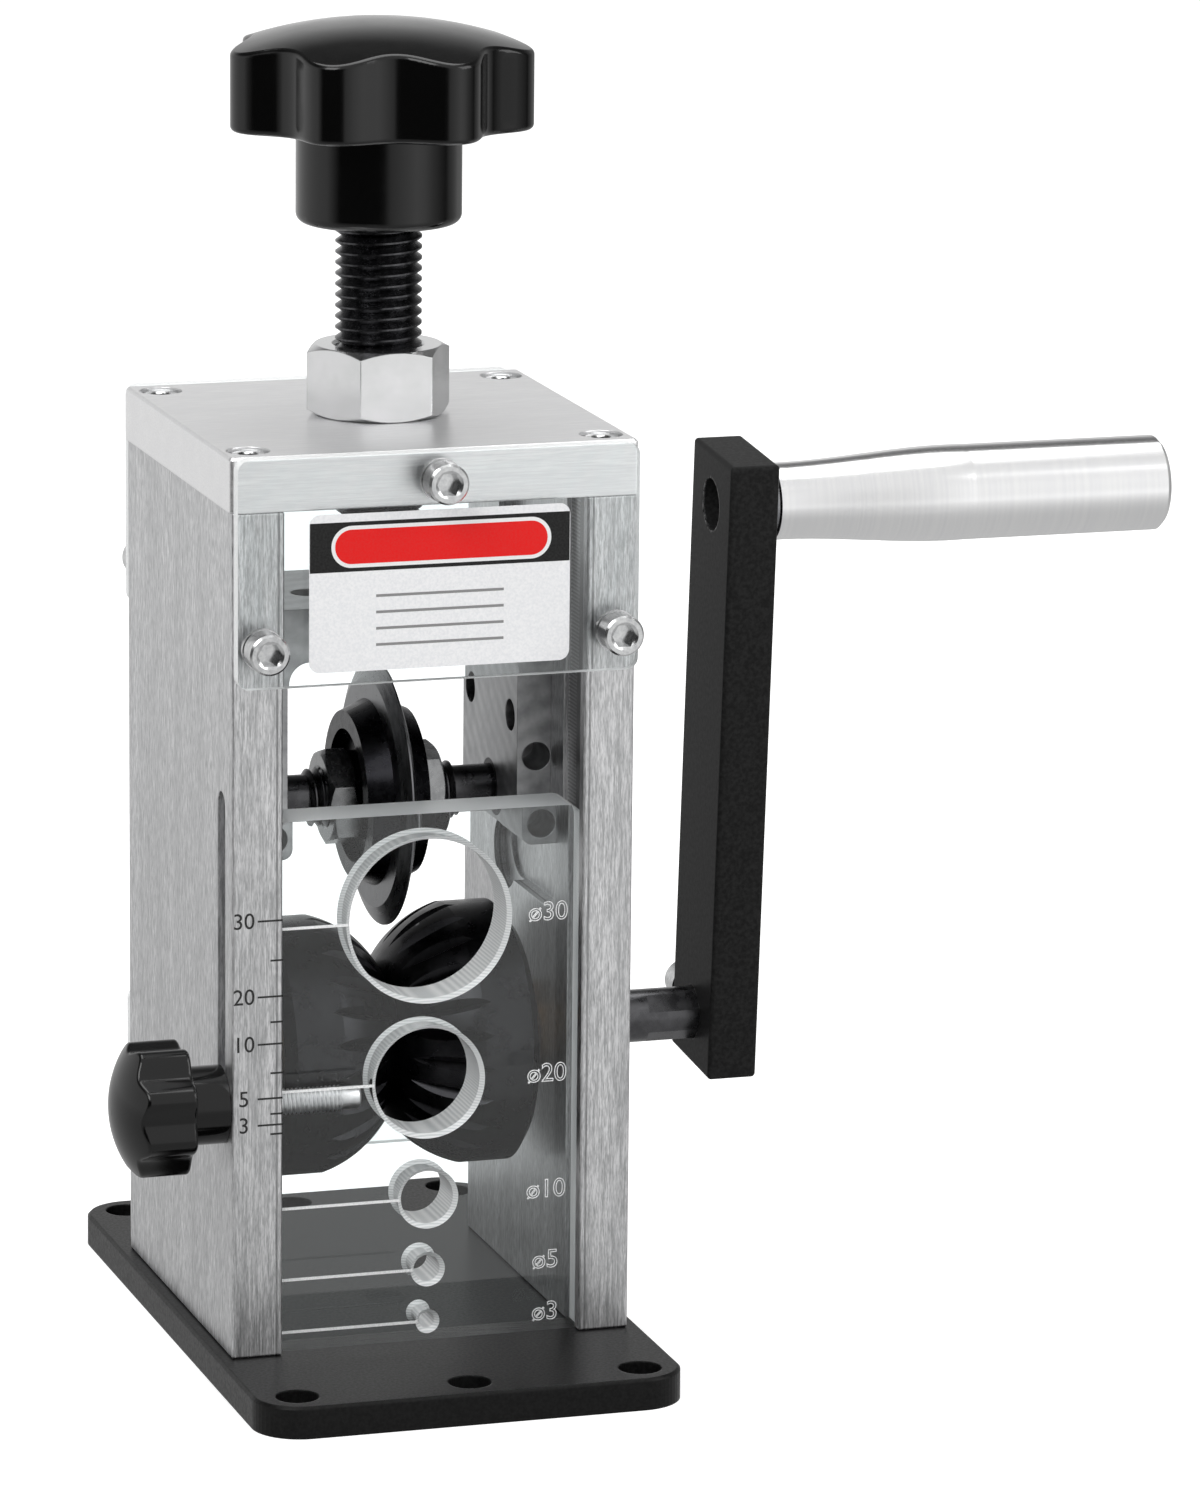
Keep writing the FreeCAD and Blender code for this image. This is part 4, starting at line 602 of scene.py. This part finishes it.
# %% Light through acrylic
def letting_light_through(tree, shader, opened=None):
    """Show a clear shader to the eye, and nothing to lamps and bounced rays, or where it is opened."""
    path = add(tree, "ShaderNodeLightPath")
    kinds = [path.outputs["Is Shadow Ray"], path.outputs["Is Diffuse Ray"], ray_kinds(tree)[1]]
    passing = kinds[0]
    for kind in kinds[1:] + ([opened] if opened else []):
        passing = add(tree, "ShaderNodeMath", {"operation": "MAXIMUM"}, {0: passing, 1: kind}).outputs[0]
    both = add(tree, "ShaderNodeMixShader", None, {
        "Fac": passing, 1: shader.outputs[0], 2: add(tree, "ShaderNodeBsdfTransparent").outputs[0]})
    add(tree, "ShaderNodeOutputMaterial", None, {"Surface": both.outputs[0]})


WORKED_FACING = (0.9, 0.98)      # how squarely a face looks forwards, worked up to polished


def worked_share(tree):
    """1 on sawn and bored walls, and 0 on the polished faces in front and behind."""
    normal = add(tree, "ShaderNodeTexCoord").outputs["Normal"]
    facing = add(tree, "ShaderNodeSeparateXYZ", None, {"Vector": normal}).outputs["Y"]
    flat = add(tree, "ShaderNodeMath", {"operation": "ABSOLUTE"}, {0: facing}).outputs[0]
    return spread(tree, flat, 1.0, 0.0, *WORKED_FACING)


print("a face turns from polished to worked between", round(math.degrees(math.acos(WORKED_FACING[1]))),
      "and", round(math.degrees(math.acos(WORKED_FACING[0]))), "degrees off the front")

# %% Acrylic
VEIL = 1.0           # twice the plain reflection, as handled faces look hazed from an angle
WORKED_ROUGHNESS = 0.4


def acrylic(name, pattern, dark, light, dullness, opened=None):
    """Clear in front and behind, and dull with a pattern on every worked wall."""
    material, tree = new_finish(name)
    worked = worked_share(tree)
    height = pattern(tree)
    tone = blend_colours(tree, height, dark, light)
    shader = add(tree, "ShaderNodeBsdfPrincipled", None, {
        "Base Color": blend_colours(tree, worked, "#f5fafa", tone),
        "IOR": 1.49,
        "Specular IOR Level": VEIL,
        "Transmission Weight": spread(tree, worked, 1.0, 1.0 - dullness, 0, 1),
        "Roughness": spread(tree, worked, 0.0, WORKED_ROUGHNESS, 0, 1),
        "Normal": bump(tree, product(tree, height, worked), 0.05, 0.5, flat=True)})
    letting_light_through(tree, shader, opened(tree) if opened else None)
    return material


print("worked walls have a roughness of", WORKED_ROUGHNESS, "and polished faces none")

# %% Patterns of worked acrylic
SAW_RIB = 0.5        # mm between the marks of the saw's teeth
SCUFF = 0.4
STUD_Y, STUD_Z = -30.5, 52.6
STUD_BORE = 3.2      # mm from the clamp stud's axis to outside its tapped hole
STUD_HOLE_END = -8.0


def saw_ribs(tree):
    """Level ridges, uneven as a saw leaves them."""
    return bands(tree, SAW_RIB, 0.4)


def scuffs(tree):
    """The spotty white of a scraped edge."""
    return spread(tree, grain(tree, (SCUFF, SCUFF, SCUFF), 3.0), 0.0, 1.0)


def stud_bore(tree):
    """1 on the wall of the clamp stud's tapped hole, which is left open to show the stud's thread."""
    place = add(tree, "ShaderNodeVectorMath", {"operation": "SUBTRACT"}, {
        0: add(tree, "ShaderNodeTexCoord").outputs["Object"], 1: (0, STUD_Y * MM, STUD_Z * MM)}).outputs[0]
    across = add(tree, "ShaderNodeVectorMath", {"operation": "MULTIPLY"}, {
        0: place, 1: (0, 1, 1)}).outputs[0]
    away = add(tree, "ShaderNodeVectorMath", {"operation": "LENGTH"}, {0: across}).outputs["Value"]
    close = add(tree, "ShaderNodeMath", {"operation": "LESS_THAN"}, {0: away, 1: STUD_BORE * MM}).outputs[0]
    left = add(tree, "ShaderNodeSeparateXYZ", None, {"Vector": place}).outputs["X"]
    return product(tree, close, add(tree, "ShaderNodeMath", {"operation": "LESS_THAN"}, {
        0: left, 1: STUD_HOLE_END * MM}).outputs[0])


dress(acrylic("cast_acrylic_sheet", scuffs, "#eef1f1", "#ffffff", 0.9),
      "front_shield", "rear_shield", "rear_guard")
dress(acrylic("cast_acrylic_block", saw_ribs, "#d6dadb", "#fafcfc", 0.85, stud_bore), "guide_plate")

# %% [markdown]
# ## Printed film
# The label is white polyester film, glued behind the front cover. Film is smooth, so it takes a
# plain plastic shine, and a fine mottle keeps it from looking like a light. Its ink comes later.

# %% Film
def film(name):
    """White, with a fine mottle."""
    material, tree = new_finish(name)
    mottle = grain(tree, (0.5, 0.5, 0.5), 2.0)
    surface(tree, {
        "Base Color": blend_colours(tree, spread(tree, mottle, 0.0, 1.0), "#e9eaec", "#f4f4f5"),
        "Roughness": 0.3})
    return material


dress(film("label_film"), "face_label")

# %% [markdown]
# ## Tools for modelling
# Each new piece starts as a primitive or as a drawn line, as by hand. An operator works on all
# that is selected, so everything is deselected first. A finished piece has its place in its
# mesh and its object at the origin, and then it rides on one body of the tool.

# %% Selecting, placing and keeping
EDGE_ANGLE = 35          # degrees between faces, up to which an edge is shaded smooth
THREAD_EDGE_ANGLE = 50
LETTER_EDGE_ANGLE = 60


def deselect():
    """Back to object mode, with nothing selected."""
    if bpy.context.mode != "OBJECT":
        bpy.ops.object.mode_set(mode="OBJECT")
    bpy.ops.object.select_all(action="DESELECT")


def only(piece):
    """Select and activate one piece."""
    deselect()
    piece.select_set(True)
    bpy.context.view_layer.objects.active = piece


def editing(piece, mode="VERT"):
    """Start edit mode on one piece with all of it selected."""
    only(piece)
    bpy.ops.object.mode_set(mode="EDIT")
    bpy.ops.mesh.select_mode(type=mode)
    bpy.ops.mesh.select_all(action="SELECT")


def settle(piece, turn=(0, 0, 0), move=(0, 0, 0)):
    """Turn by degrees, move by mm, and apply both, so that the object sits at the origin."""
    only(piece)
    piece.rotation_euler = [math.radians(angle) for angle in turn]
    piece.location = [c * MM for c in move]
    bpy.ops.object.transform_apply(location=True, rotation=True, scale=True)


def joined(pieces):
    """Make one object of several."""
    deselect()
    for piece in pieces:
        piece.select_set(True)
    bpy.context.view_layer.objects.active = pieces[0]
    if len(pieces) > 1:
        bpy.ops.object.join()
    return pieces[0]


def keep(piece, name, finish, body, replaced=(), angle=EDGE_ANGLE):
    """Name a finished piece, give it its finish, and let it ride on a body."""
    only(piece)
    piece.name = piece.data.name = name
    piece.data.materials.clear()
    piece.data.materials.append(finish)
    bpy.ops.object.shade_smooth_by_angle(angle=math.radians(angle))
    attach(piece, body)
    if replaced:
        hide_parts(*replaced)
    print(name, len(piece.data.polygons), "faces")
    return piece


print("edges sharper than", EDGE_ANGLE, "degrees stay sharp, and on threads", THREAD_EDGE_ANGLE)

# %% Lines, sweeps and cuts
NO_GAP = 0.001       # mm, within which two points are one


def draw_line(points):
    """A chain of edges through (radius, height) points in mm, drawn in the XZ plane by extruding."""
    deselect()
    bpy.ops.mesh.primitive_plane_add(size=MM)
    line = bpy.context.object
    editing(line)
    bpy.ops.mesh.merge(type="CENTER")
    bpy.ops.transform.translate(value=(points[0][0] * MM, 0, points[0][1] * MM))
    for start, stop in zip(points, points[1:]):
        step = ((stop[0] - start[0]) * MM, 0, (stop[1] - start[1]) * MM)
        bpy.ops.mesh.extrude_vertices_move(TRANSFORM_OT_translate={"value": step})
    deselect()
    return line


def swept(line, turns, rise, steps=64):
    """Sweep a line round Z, rising by some mm each turn, and apply it."""
    sweep = line.modifiers.new("sweep", "SCREW")
    sweep.axis = "Z"
    sweep.iterations = turns
    sweep.screw_offset = rise * MM
    sweep.steps = sweep.render_steps = steps
    sweep.use_merge_vertices = True
    sweep.merge_threshold = NO_GAP * MM
    only(line)
    bpy.ops.object.modifier_apply(modifier="sweep")
    editing(line)
    bpy.ops.mesh.remove_doubles(threshold=NO_GAP * MM)
    bpy.ops.mesh.normals_make_consistent(inside=False)
    deselect()
    return line


def trimmed(piece, bottom, top):
    """Cut a piece level at two heights and close the cuts."""
    for height, side in ((bottom, "clear_inner"), (top, "clear_outer")):
        editing(piece)
        bpy.ops.mesh.bisect(
            plane_co=(0, 0, height * MM), plane_no=(0, 0, 1), use_fill=True, **{side: True})
    editing(piece)
    bpy.ops.mesh.normals_make_consistent(inside=False)
    deselect()
    return piece


THREAD_DEPTH = 0.6       # of the pitch
THREAD_CREST = 0.16
SPARE_TURNS = 3          # swept beyond the ends, and cut off


def rolled_thread(radius, pitch, bottom, top):
    """A V thread with narrow flat crests, closed at both ends."""
    root = radius - THREAD_DEPTH * pitch
    start = bottom - SPARE_TURNS / 2 * pitch
    crest = THREAD_CREST * pitch
    slope = (pitch - crest) / 2
    line = draw_line([(root, start), (radius, start + slope),
                      (radius, start + slope + crest), (root, start + pitch)])
    return trimmed(swept(line, math.ceil((top - bottom) / pitch) + SPARE_TURNS, pitch), bottom, top)


def lathed(points):
    """A solid turned from a profile that starts and ends on the axis."""
    return swept(draw_line(points), 1, 0)


print("a thread is", THREAD_DEPTH, "of its pitch deep, and its crest is", THREAD_CREST, "of it wide")

# %% [markdown]
# ## Rolled threads
# The spindle is an M16 screw with a 2 mm pitch, and its thread runs round as one helix. CAD
# draws threads as plain rings, so here each threaded piece is made again with the real helix:
# a V drawn once and swept round the axis, then cut level.

# %% Spindle
def box_mm(node):
    """Lowest and highest corners of a CAD node in mm."""
    low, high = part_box(node)
    return [c / MM for c in low], [c / MM for c in high]


SPINDLE_RADIUS = 8.0
SPINDLE_PITCH = 2.0
JOURNAL_RADIUS = 5.0
JOURNAL_EDGE = 0.4
GROOVE_RADIUS = JOURNAL_RADIUS - 0.5
SHOULDER_PLAY = 0.05
IN_THREAD = 1.0          # mm that the plain end reaches into the threaded one
foot, top = box_mm("spindle")[0][2], box_mm("spindle")[1][2]
ring_low, ring_high = box_mm("spindle_retainer")[0][2], box_mm("spindle_retainer")[1][2]
shoulder = box_mm("thrust_washer")[1][2] + SHOULDER_PLAY
journal = lathed([
    (0, foot), (JOURNAL_RADIUS - JOURNAL_EDGE, foot), (JOURNAL_RADIUS, foot + JOURNAL_EDGE),
    (JOURNAL_RADIUS, ring_low), (GROOVE_RADIUS, ring_low), (GROOVE_RADIUS, ring_high),
    (JOURNAL_RADIUS, ring_high), (JOURNAL_RADIUS, shoulder + IN_THREAD), (0, shoulder + IN_THREAD)])
spindle = joined([rolled_thread(SPINDLE_RADIUS, SPINDLE_PITCH, shoulder, top), journal])
keep(spindle, "spindle_screw", black_oxide, "spindle", ["spindle"], THREAD_EDGE_ANGLE)

# %% [markdown]
# ## Clamp stud
# The clamp's stud is an M5 screw with a plain part beside its knob, a rolled thread in the
# guide and a smooth point at its tip. It lies across the tool, so it is made upright from
# three lengths and then turned down.

# %% Clamp stud
stud_low, stud_high = box_mm("clamp_stud")
stud_y, stud_z = (stud_low[1] + stud_high[1]) / 2, (stud_low[2] + stud_high[2]) / 2
STUD_RADIUS = 2.5
STUD_ROOT_RADIUS = 2.0
STUD_PITCH = 0.8
STUD_POINT_RADIUS = 2.15
STUD_POINT_LENGTH = 3.6
STUD_POINT_EDGE = 0.5
STUD_THREAD_LENGTH = 13.7
OVERLAP = 0.3            # mm that joined lengths reach into each other
point_tip = stud_high[0]
point_foot = point_tip - STUD_POINT_LENGTH
thread_foot = point_foot - STUD_THREAD_LENGTH
stud = joined([
    rolled_thread(STUD_RADIUS, STUD_PITCH, thread_foot, point_foot),
    lathed([(0, stud_low[0]), (STUD_RADIUS, stud_low[0]), (STUD_RADIUS, thread_foot - STUD_PITCH),
            (STUD_ROOT_RADIUS, thread_foot), (STUD_ROOT_RADIUS, thread_foot + OVERLAP),
            (0, thread_foot + OVERLAP)]),
    lathed([(0, point_foot - OVERLAP), (STUD_POINT_RADIUS, point_foot - OVERLAP),
            (STUD_POINT_RADIUS, point_tip - STUD_POINT_EDGE),
            (STUD_POINT_RADIUS - STUD_POINT_EDGE, point_tip), (0, point_tip)])])
settle(stud, turn=(0, 90, 0), move=(0, stud_y, stud_z))
keep(stud, "clamp_stud_screw", zinc, "clamp", ["clamp_stud"], THREAD_EDGE_ANGLE)

# %% [markdown]
# ## Cutter axle
# The cutter's axle is a bar with an M10 thread in the middle for the two nuts beside the
# blade, and an 8 mm end turned down on either side. It is made and turned as the stud is.

# %% Cutter axle
axle_low, axle_high = box_mm("cutter_axle")
axle_z = (axle_low[2] + axle_high[2]) / 2
AXLE_RADIUS = 4.0
AXLE_EDGE = 0.5
AXLE_THREAD_RADIUS = 5.0
AXLE_PITCH = 1.5
AXLE_THREAD_REACH = 14.0
END_START = AXLE_THREAD_REACH - 0.5
tip = axle_high[0]
axle = joined([
    rolled_thread(AXLE_THREAD_RADIUS, AXLE_PITCH, -AXLE_THREAD_REACH, AXLE_THREAD_REACH),
    lathed([(0, END_START), (AXLE_RADIUS, END_START), (AXLE_RADIUS, tip - AXLE_EDGE),
            (AXLE_RADIUS - AXLE_EDGE, tip), (0, tip)]),
    lathed([(0, -tip), (AXLE_RADIUS - AXLE_EDGE, -tip), (AXLE_RADIUS, AXLE_EDGE - tip),
            (AXLE_RADIUS, -END_START), (0, -END_START)])])
settle(axle, turn=(0, 90, 0), move=(0, 0, axle_z))
keep(axle, "cutter_axle_bar", dark_steel, "cutter", ["cutter_axle"], THREAD_EDGE_ANGLE)

# %% [markdown]
# ## Scale on the left post
# The scale's numbers, 3 to 30, are the diameters of the guide's holes. Its ticks and numerals
# are engraved and filled with black paint. Cutting them into the metal would need many small
# faces for hardly any depth, so they are thin plates that stand a hair proud of the post.

# %% Filler, plates and letters
def black_filler(name):
    """Paint wiped into an engraving: black, dull and slightly uneven."""
    material, tree = new_finish(name)
    wiped = grain(tree, (0.3, 0.3, 0.3), 2.0)
    surface(tree, {
        "Base Color": blend_colours(tree, spread(tree, wiped, 0.0, 1.0), "#151515", "#2a2a2a"),
        "Roughness": 0.6})
    return material


def plate(x0, x1, y0, y1, z0, z1):
    """A thin block between two corners in mm."""
    deselect()
    bpy.ops.mesh.primitive_plane_add(size=MM, location=(0, 0, 0))
    block = bpy.context.object
    block.scale = (x1 - x0, y1 - y0, 1)
    settle(block, move=((x0 + x1) / 2, (y0 + y1) / 2, z0))
    editing(block, "FACE")
    bpy.ops.mesh.extrude_region_move(TRANSFORM_OT_translate={"value": (0, 0, (z1 - z0) * MM)})
    bpy.ops.mesh.select_all(action="SELECT")
    bpy.ops.mesh.normals_make_consistent(inside=False)
    deselect()
    return block


CAPITAL_SHARE = 0.69     # height of a numeral, as a share of the font's size
LETTER_DEPTH = 0.03


def lettering(words, height, x, y, z, outline=0.0):
    """Words that stand on a front face, filled, or drawn as outlines of some width."""
    deselect()
    bpy.ops.object.text_add(location=(0, 0, 0))
    letters = bpy.context.object
    letters.data.body = words
    letters.data.size = height / CAPITAL_SHARE * MM
    letters.data.align_x = "CENTER"
    letters.data.align_y = "CENTER"
    if outline:
        letters.data.fill_mode = "NONE"
        letters.data.bevel_depth = outline / 2 * MM
        letters.data.bevel_resolution = 1
    else:
        letters.data.extrude = LETTER_DEPTH * MM
    bpy.ops.object.convert(target="MESH")
    settle(letters, turn=(90, 0, 0), move=(x, y, z))
    return letters


print("filled letters stand", LETTER_DEPTH, "mm to either side of their plane")

# %% Scale
post_low, post_high = box_mm("side_plate_left")
post_front = post_low[1]
inner_edge = post_high[0]
SCALE = {"30": 88.4, "20": 74.2, "10": 65.3, "5": 55.05, "3": 50.05}    # mm above the table
BETWEEN = (80.95, 69.4, 59.8, 52.1, 48.3)
NUMERAL_X = -35.8
NUMERAL_HEIGHT = 2.9
LONG_TICK = 4.7
SHORT_TICK = 2.3
TICK_WIDTH = 0.35
SKIN = 0.04
filler = black_filler("engraving_black_filler")
ticks = []
for heights, length in ((SCALE.values(), LONG_TICK), (BETWEEN, SHORT_TICK)):
    for height in heights:
        ticks.append(plate(inner_edge - length, inner_edge, post_front - SKIN, post_front + SKIN,
                           height - TICK_WIDTH / 2, height + TICK_WIDTH / 2))
keep(joined(ticks), "scale_ticks", filler, "frame")
numerals = [lettering(words, NUMERAL_HEIGHT, NUMERAL_X, post_front - SKIN / 2, height)
            for words, height in SCALE.items()]
keep(joined(numerals), "scale_numerals", filler, "frame")

# %% [markdown]
# ## Marks in the guide
# Each hole's diameter is engraved in outline beside it, and a fine groove runs level with the
# hole's middle, from the left post to just short of the hole. An engraving in clear acrylic
# scatters light, so it shows as a white line. The strokes are thin tubes and the grooves thin
# plates, in a dull white finish.

# %% Guide marks
def scratched_acrylic(name):
    """The dull white floor of an engraved line."""
    material, tree = new_finish(name)
    chips = grain(tree, (0.2, 0.2, 0.2), 2.0)
    surface(tree, {
        "Base Color": blend_colours(tree, spread(tree, chips, 0.0, 1.0), "#dfe2e2", "#ffffff"),
        "IOR": 1.49,
        "Roughness": 0.5})
    return material


guide_low = box_mm("guide_plate")[0]
guide_front = guide_low[1]
HOLES = {30: 80.0, 20: 49.3, 10: 27.1, 5: 13.5, 3: 3.5}        # mm above the guide's foot
SIZE_MARK_X = 22.7
SIZE_MARK_HEIGHT = 3.4
SIZE_MARK_STROKE = 0.2
LINE_HALF = 0.25         # half of a line's width
LINE_PROUD = 0.02
LINE_DEPTH = 0.3
LINE_TO_HOLE = 0.4
scratch = scratched_acrylic("engraved_acrylic")
size_marks = []
lines = []
for diameter, rise in HOLES.items():
    z = guide_low[2] + rise
    size_marks.append(lettering("\u00f8" + str(diameter), SIZE_MARK_HEIGHT,
                                SIZE_MARK_X, guide_front, z, SIZE_MARK_STROKE))
    lines.append(plate(inner_edge, -diameter / 2 - LINE_TO_HOLE, guide_front - LINE_PROUD,
                       guide_front + LINE_DEPTH, z - LINE_HALF, z + LINE_HALF))
keep(joined(size_marks), "hole_size_marks", scratch, "guide", angle=LETTER_EDGE_ANGLE)
keep(joined(lines), "hole_centre_lines", scratch, "guide")

# %% [markdown]
# ## Print on the label
# Screen printing lays flat areas of ink on the film. Here it is plain: a black head band, a red
# bar with a white rim, and four grey rules. They could be one picture, but thin rounded plates
# stay sharp at any size. Each colour lies a little above the one below.

# %% Ink
def ink(name, colour):
    """Screen-printed ink with a slight sheen and a faint mottle."""
    material, tree = new_finish(name)
    mottle = grain(tree, (0.4, 0.4, 0.4), 2.0)
    surface(tree, {
        "Base Color": blend_colours(tree, spread(tree, mottle, 0.0, 0.06), colour, "#808080"),
        "Specular IOR Level": 0.25,
        "Roughness": spread(tree, mottle, 0.4, 0.55)})
    return material


INK = 0.02               # mm, a layer's thickness
NEXT_LAYER = 0.03
SHORT_OF_HALF = 0.999    # keeps the points of a half-round end apart
CORNER_STEPS = 12


def patch(x0, x1, z0, z1, corner, lift):
    """A thin layer of ink with rounded corners, on the label's face."""
    deselect()
    bpy.ops.mesh.primitive_plane_add(size=MM, location=(0, 0, 0))
    layer = bpy.context.object
    layer.scale = (x1 - x0, z1 - z0, 1)
    settle(layer)
    if corner:
        editing(layer)
        bpy.ops.mesh.bevel(offset=corner * MM * SHORT_OF_HALF, segments=CORNER_STEPS, affect="VERTICES")
    editing(layer, "FACE")
    bpy.ops.mesh.extrude_region_move(TRANSFORM_OT_translate={"value": (0, 0, INK * MM)})
    editing(layer)
    bpy.ops.mesh.normals_make_consistent(inside=False)
    settle(layer, turn=(90, 0, 0), move=((x0 + x1) / 2, label_face - lift, (z0 + z1) / 2))
    return layer


print("a layer of ink is", INK, "mm thick, and the next one starts", NEXT_LAYER, "mm up")

# %% Label print
BAND = (152.9, 162.0)                     # heights above the table, in mm
BAND_INSET = 0.1
RIM = (-20.4, 20.9, 153.6, 161.3, 3.8)    # left, right, bottom, top and corner radius
BAR = (-19.7, 20.2, 154.3, 160.6, 3.1)
RULE_HALF = 12.0
RULE_WIDTH = 0.5
RULE_HEIGHTS = (139.0, 142.0, 145.0, 148.0)
label_low, label_high = box_mm("face_label")
label_face = label_low[1]
band = patch(label_low[0] + BAND_INSET, label_high[0] - BAND_INSET, *BAND, 0, 0.0)
keep(band, "label_head_band", ink("black_ink", "#121212"), "frame")
keep(patch(*RIM, NEXT_LAYER), "label_bar_rim", ink("white_ink", "#f2f2f2"), "frame")
keep(patch(*BAR, 2 * NEXT_LAYER), "label_bar", ink("red_ink", "#e8120f"), "frame")
rules = [patch(-RULE_HALF, RULE_HALF, z, z + RULE_WIDTH, 0, 0.0) for z in RULE_HEIGHTS]
keep(joined(rules), "label_rules", ink("grey_ink", "#8c8c8c"), "frame")
